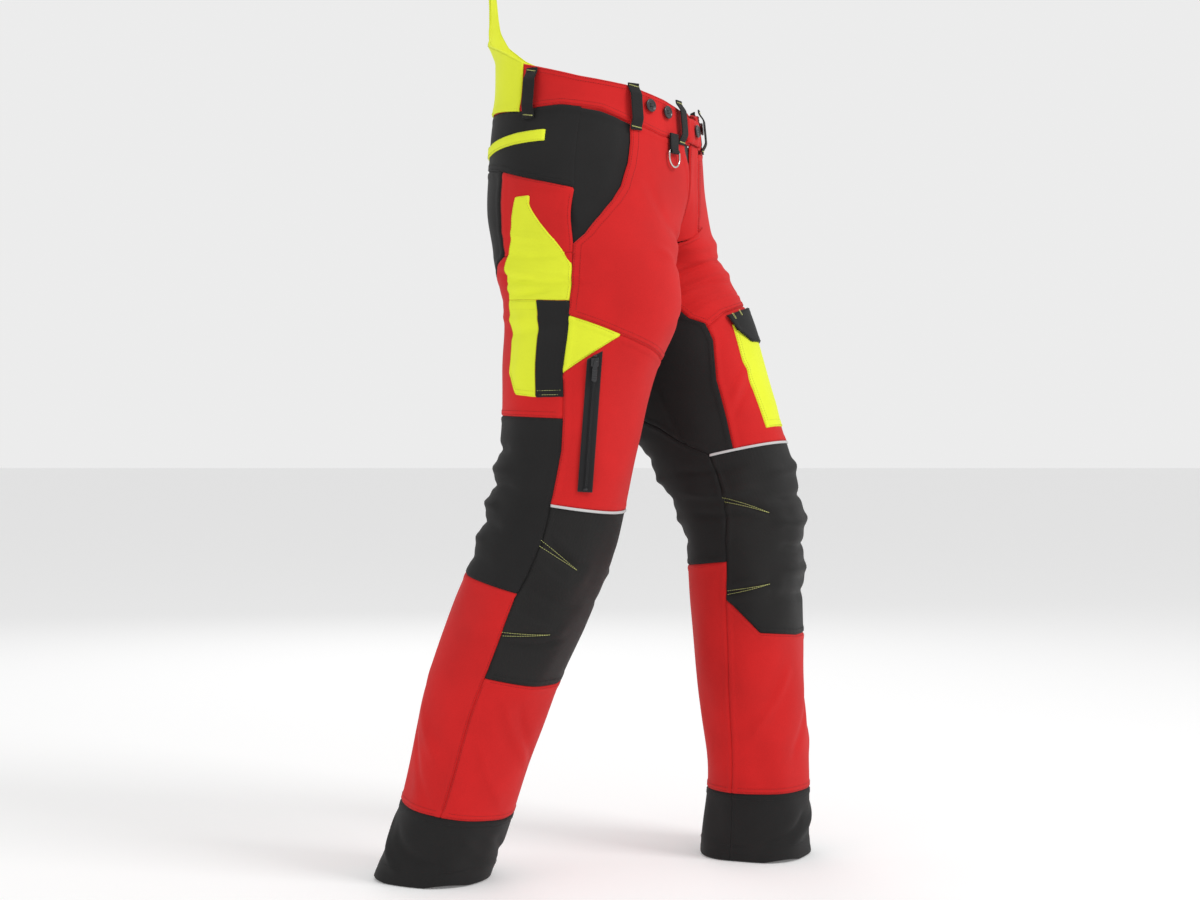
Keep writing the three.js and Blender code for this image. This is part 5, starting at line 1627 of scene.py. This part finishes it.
class TROUSERS_OT_pockets(bpy.types.Operator):
    """Side pocket, wedge, cargo pocket and flap"""
    bl_idname = "trousers.pockets"
    bl_label = "Thigh pockets"

    def execute(self, context):
        sew_thigh_pockets()
        return {"FINISHED"}


class TROUSERS_OT_closure(bpy.types.Operator):
    """Fly placket, closure tab and its stud"""
    bl_idname = "trousers.closure"
    bl_label = "Front closure"

    def execute(self, context):
        sew_closure()
        make_closure_button()
        return {"FINISHED"}


class TROUSERS_OT_zips(bpy.types.Operator):
    """Thigh zip and fly slider"""
    bl_idname = "trousers.zips"
    bl_label = "Zips"

    def execute(self, context):
        make_thigh_zip()
        make_fly_slider()
        return {"FINISHED"}


class TROUSERS_OT_belt_loops(bpy.types.Operator):
    """Webbing belt loops"""
    bl_idname = "trousers.belt_loops"
    bl_label = "Belt loops"

    def execute(self, context):
        make_belt_loops()
        return {"FINISHED"}


class TROUSERS_OT_buttons(bpy.types.Operator):
    """Brace buttons"""
    bl_idname = "trousers.buttons"
    bl_label = "Brace buttons"

    def execute(self, context):
        make_buttons()
        return {"FINISHED"}


class TROUSERS_OT_ring(bpy.types.Operator):
    """D-ring and its tab"""
    bl_idname = "trousers.ring"
    bl_label = "D-ring"

    def execute(self, context):
        make_ring_and_tab()
        return {"FINISHED"}


class TROUSERS_OT_threads(bpy.types.Operator):
    """Every row of stitches"""
    bl_idname = "trousers.threads"
    bl_label = "Stitching"

    def execute(self, context):
        make_threads()
        return {"FINISHED"}


STEPS = (
    TROUSERS_OT_stage, TROUSERS_OT_waist, TROUSERS_OT_hips, TROUSERS_OT_thighs, TROUSERS_OT_lower_legs,
    TROUSERS_OT_hems,
    TROUSERS_OT_pads, TROUSERS_OT_pockets, TROUSERS_OT_closure, TROUSERS_OT_zips, TROUSERS_OT_belt_loops,
    TROUSERS_OT_buttons, TROUSERS_OT_ring, TROUSERS_OT_threads,
)
SETTINGS = {"trousers_cloth": TrousersCloth, "trousers_trim": TrousersTrim, "trousers_stage": TrousersStage}


class TROUSERS_PT_panel(bpy.types.Panel):
    """Settings and steps of the trousers"""
    bl_idname = "TROUSERS_PT_panel"
    bl_label = "Trousers"
    bl_space_type = "VIEW_3D"
    bl_region_type = "UI"
    bl_category = "Trousers"

    def draw(self, context):
        for name, group in SETTINGS.items():
            box = self.layout.box()
            for setting in group.__annotations__:
                box.prop(getattr(context.scene, name), setting)
        for step in STEPS:
            self.layout.operator(step.bl_idname)


def register():
    for group in SETTINGS.values():
        bpy.utils.register_class(group)
    for name, group in SETTINGS.items():
        setattr(bpy.types.Scene, name, bpy.props.PointerProperty(type=group))
    for step in STEPS:
        bpy.utils.register_class(step)
    bpy.utils.register_class(TROUSERS_PT_panel)


def unregister():
    bpy.utils.unregister_class(TROUSERS_PT_panel)
    for step in reversed(STEPS):
        bpy.utils.unregister_class(step)
    for name, group in SETTINGS.items():
        delattr(bpy.types.Scene, name)
        bpy.utils.unregister_class(group)


def main():
    register()
    for step in STEPS:
        family, action = step.bl_idname.split(".")
        getattr(getattr(bpy.ops, family), action)()


if __name__ == "__main__":
    main()
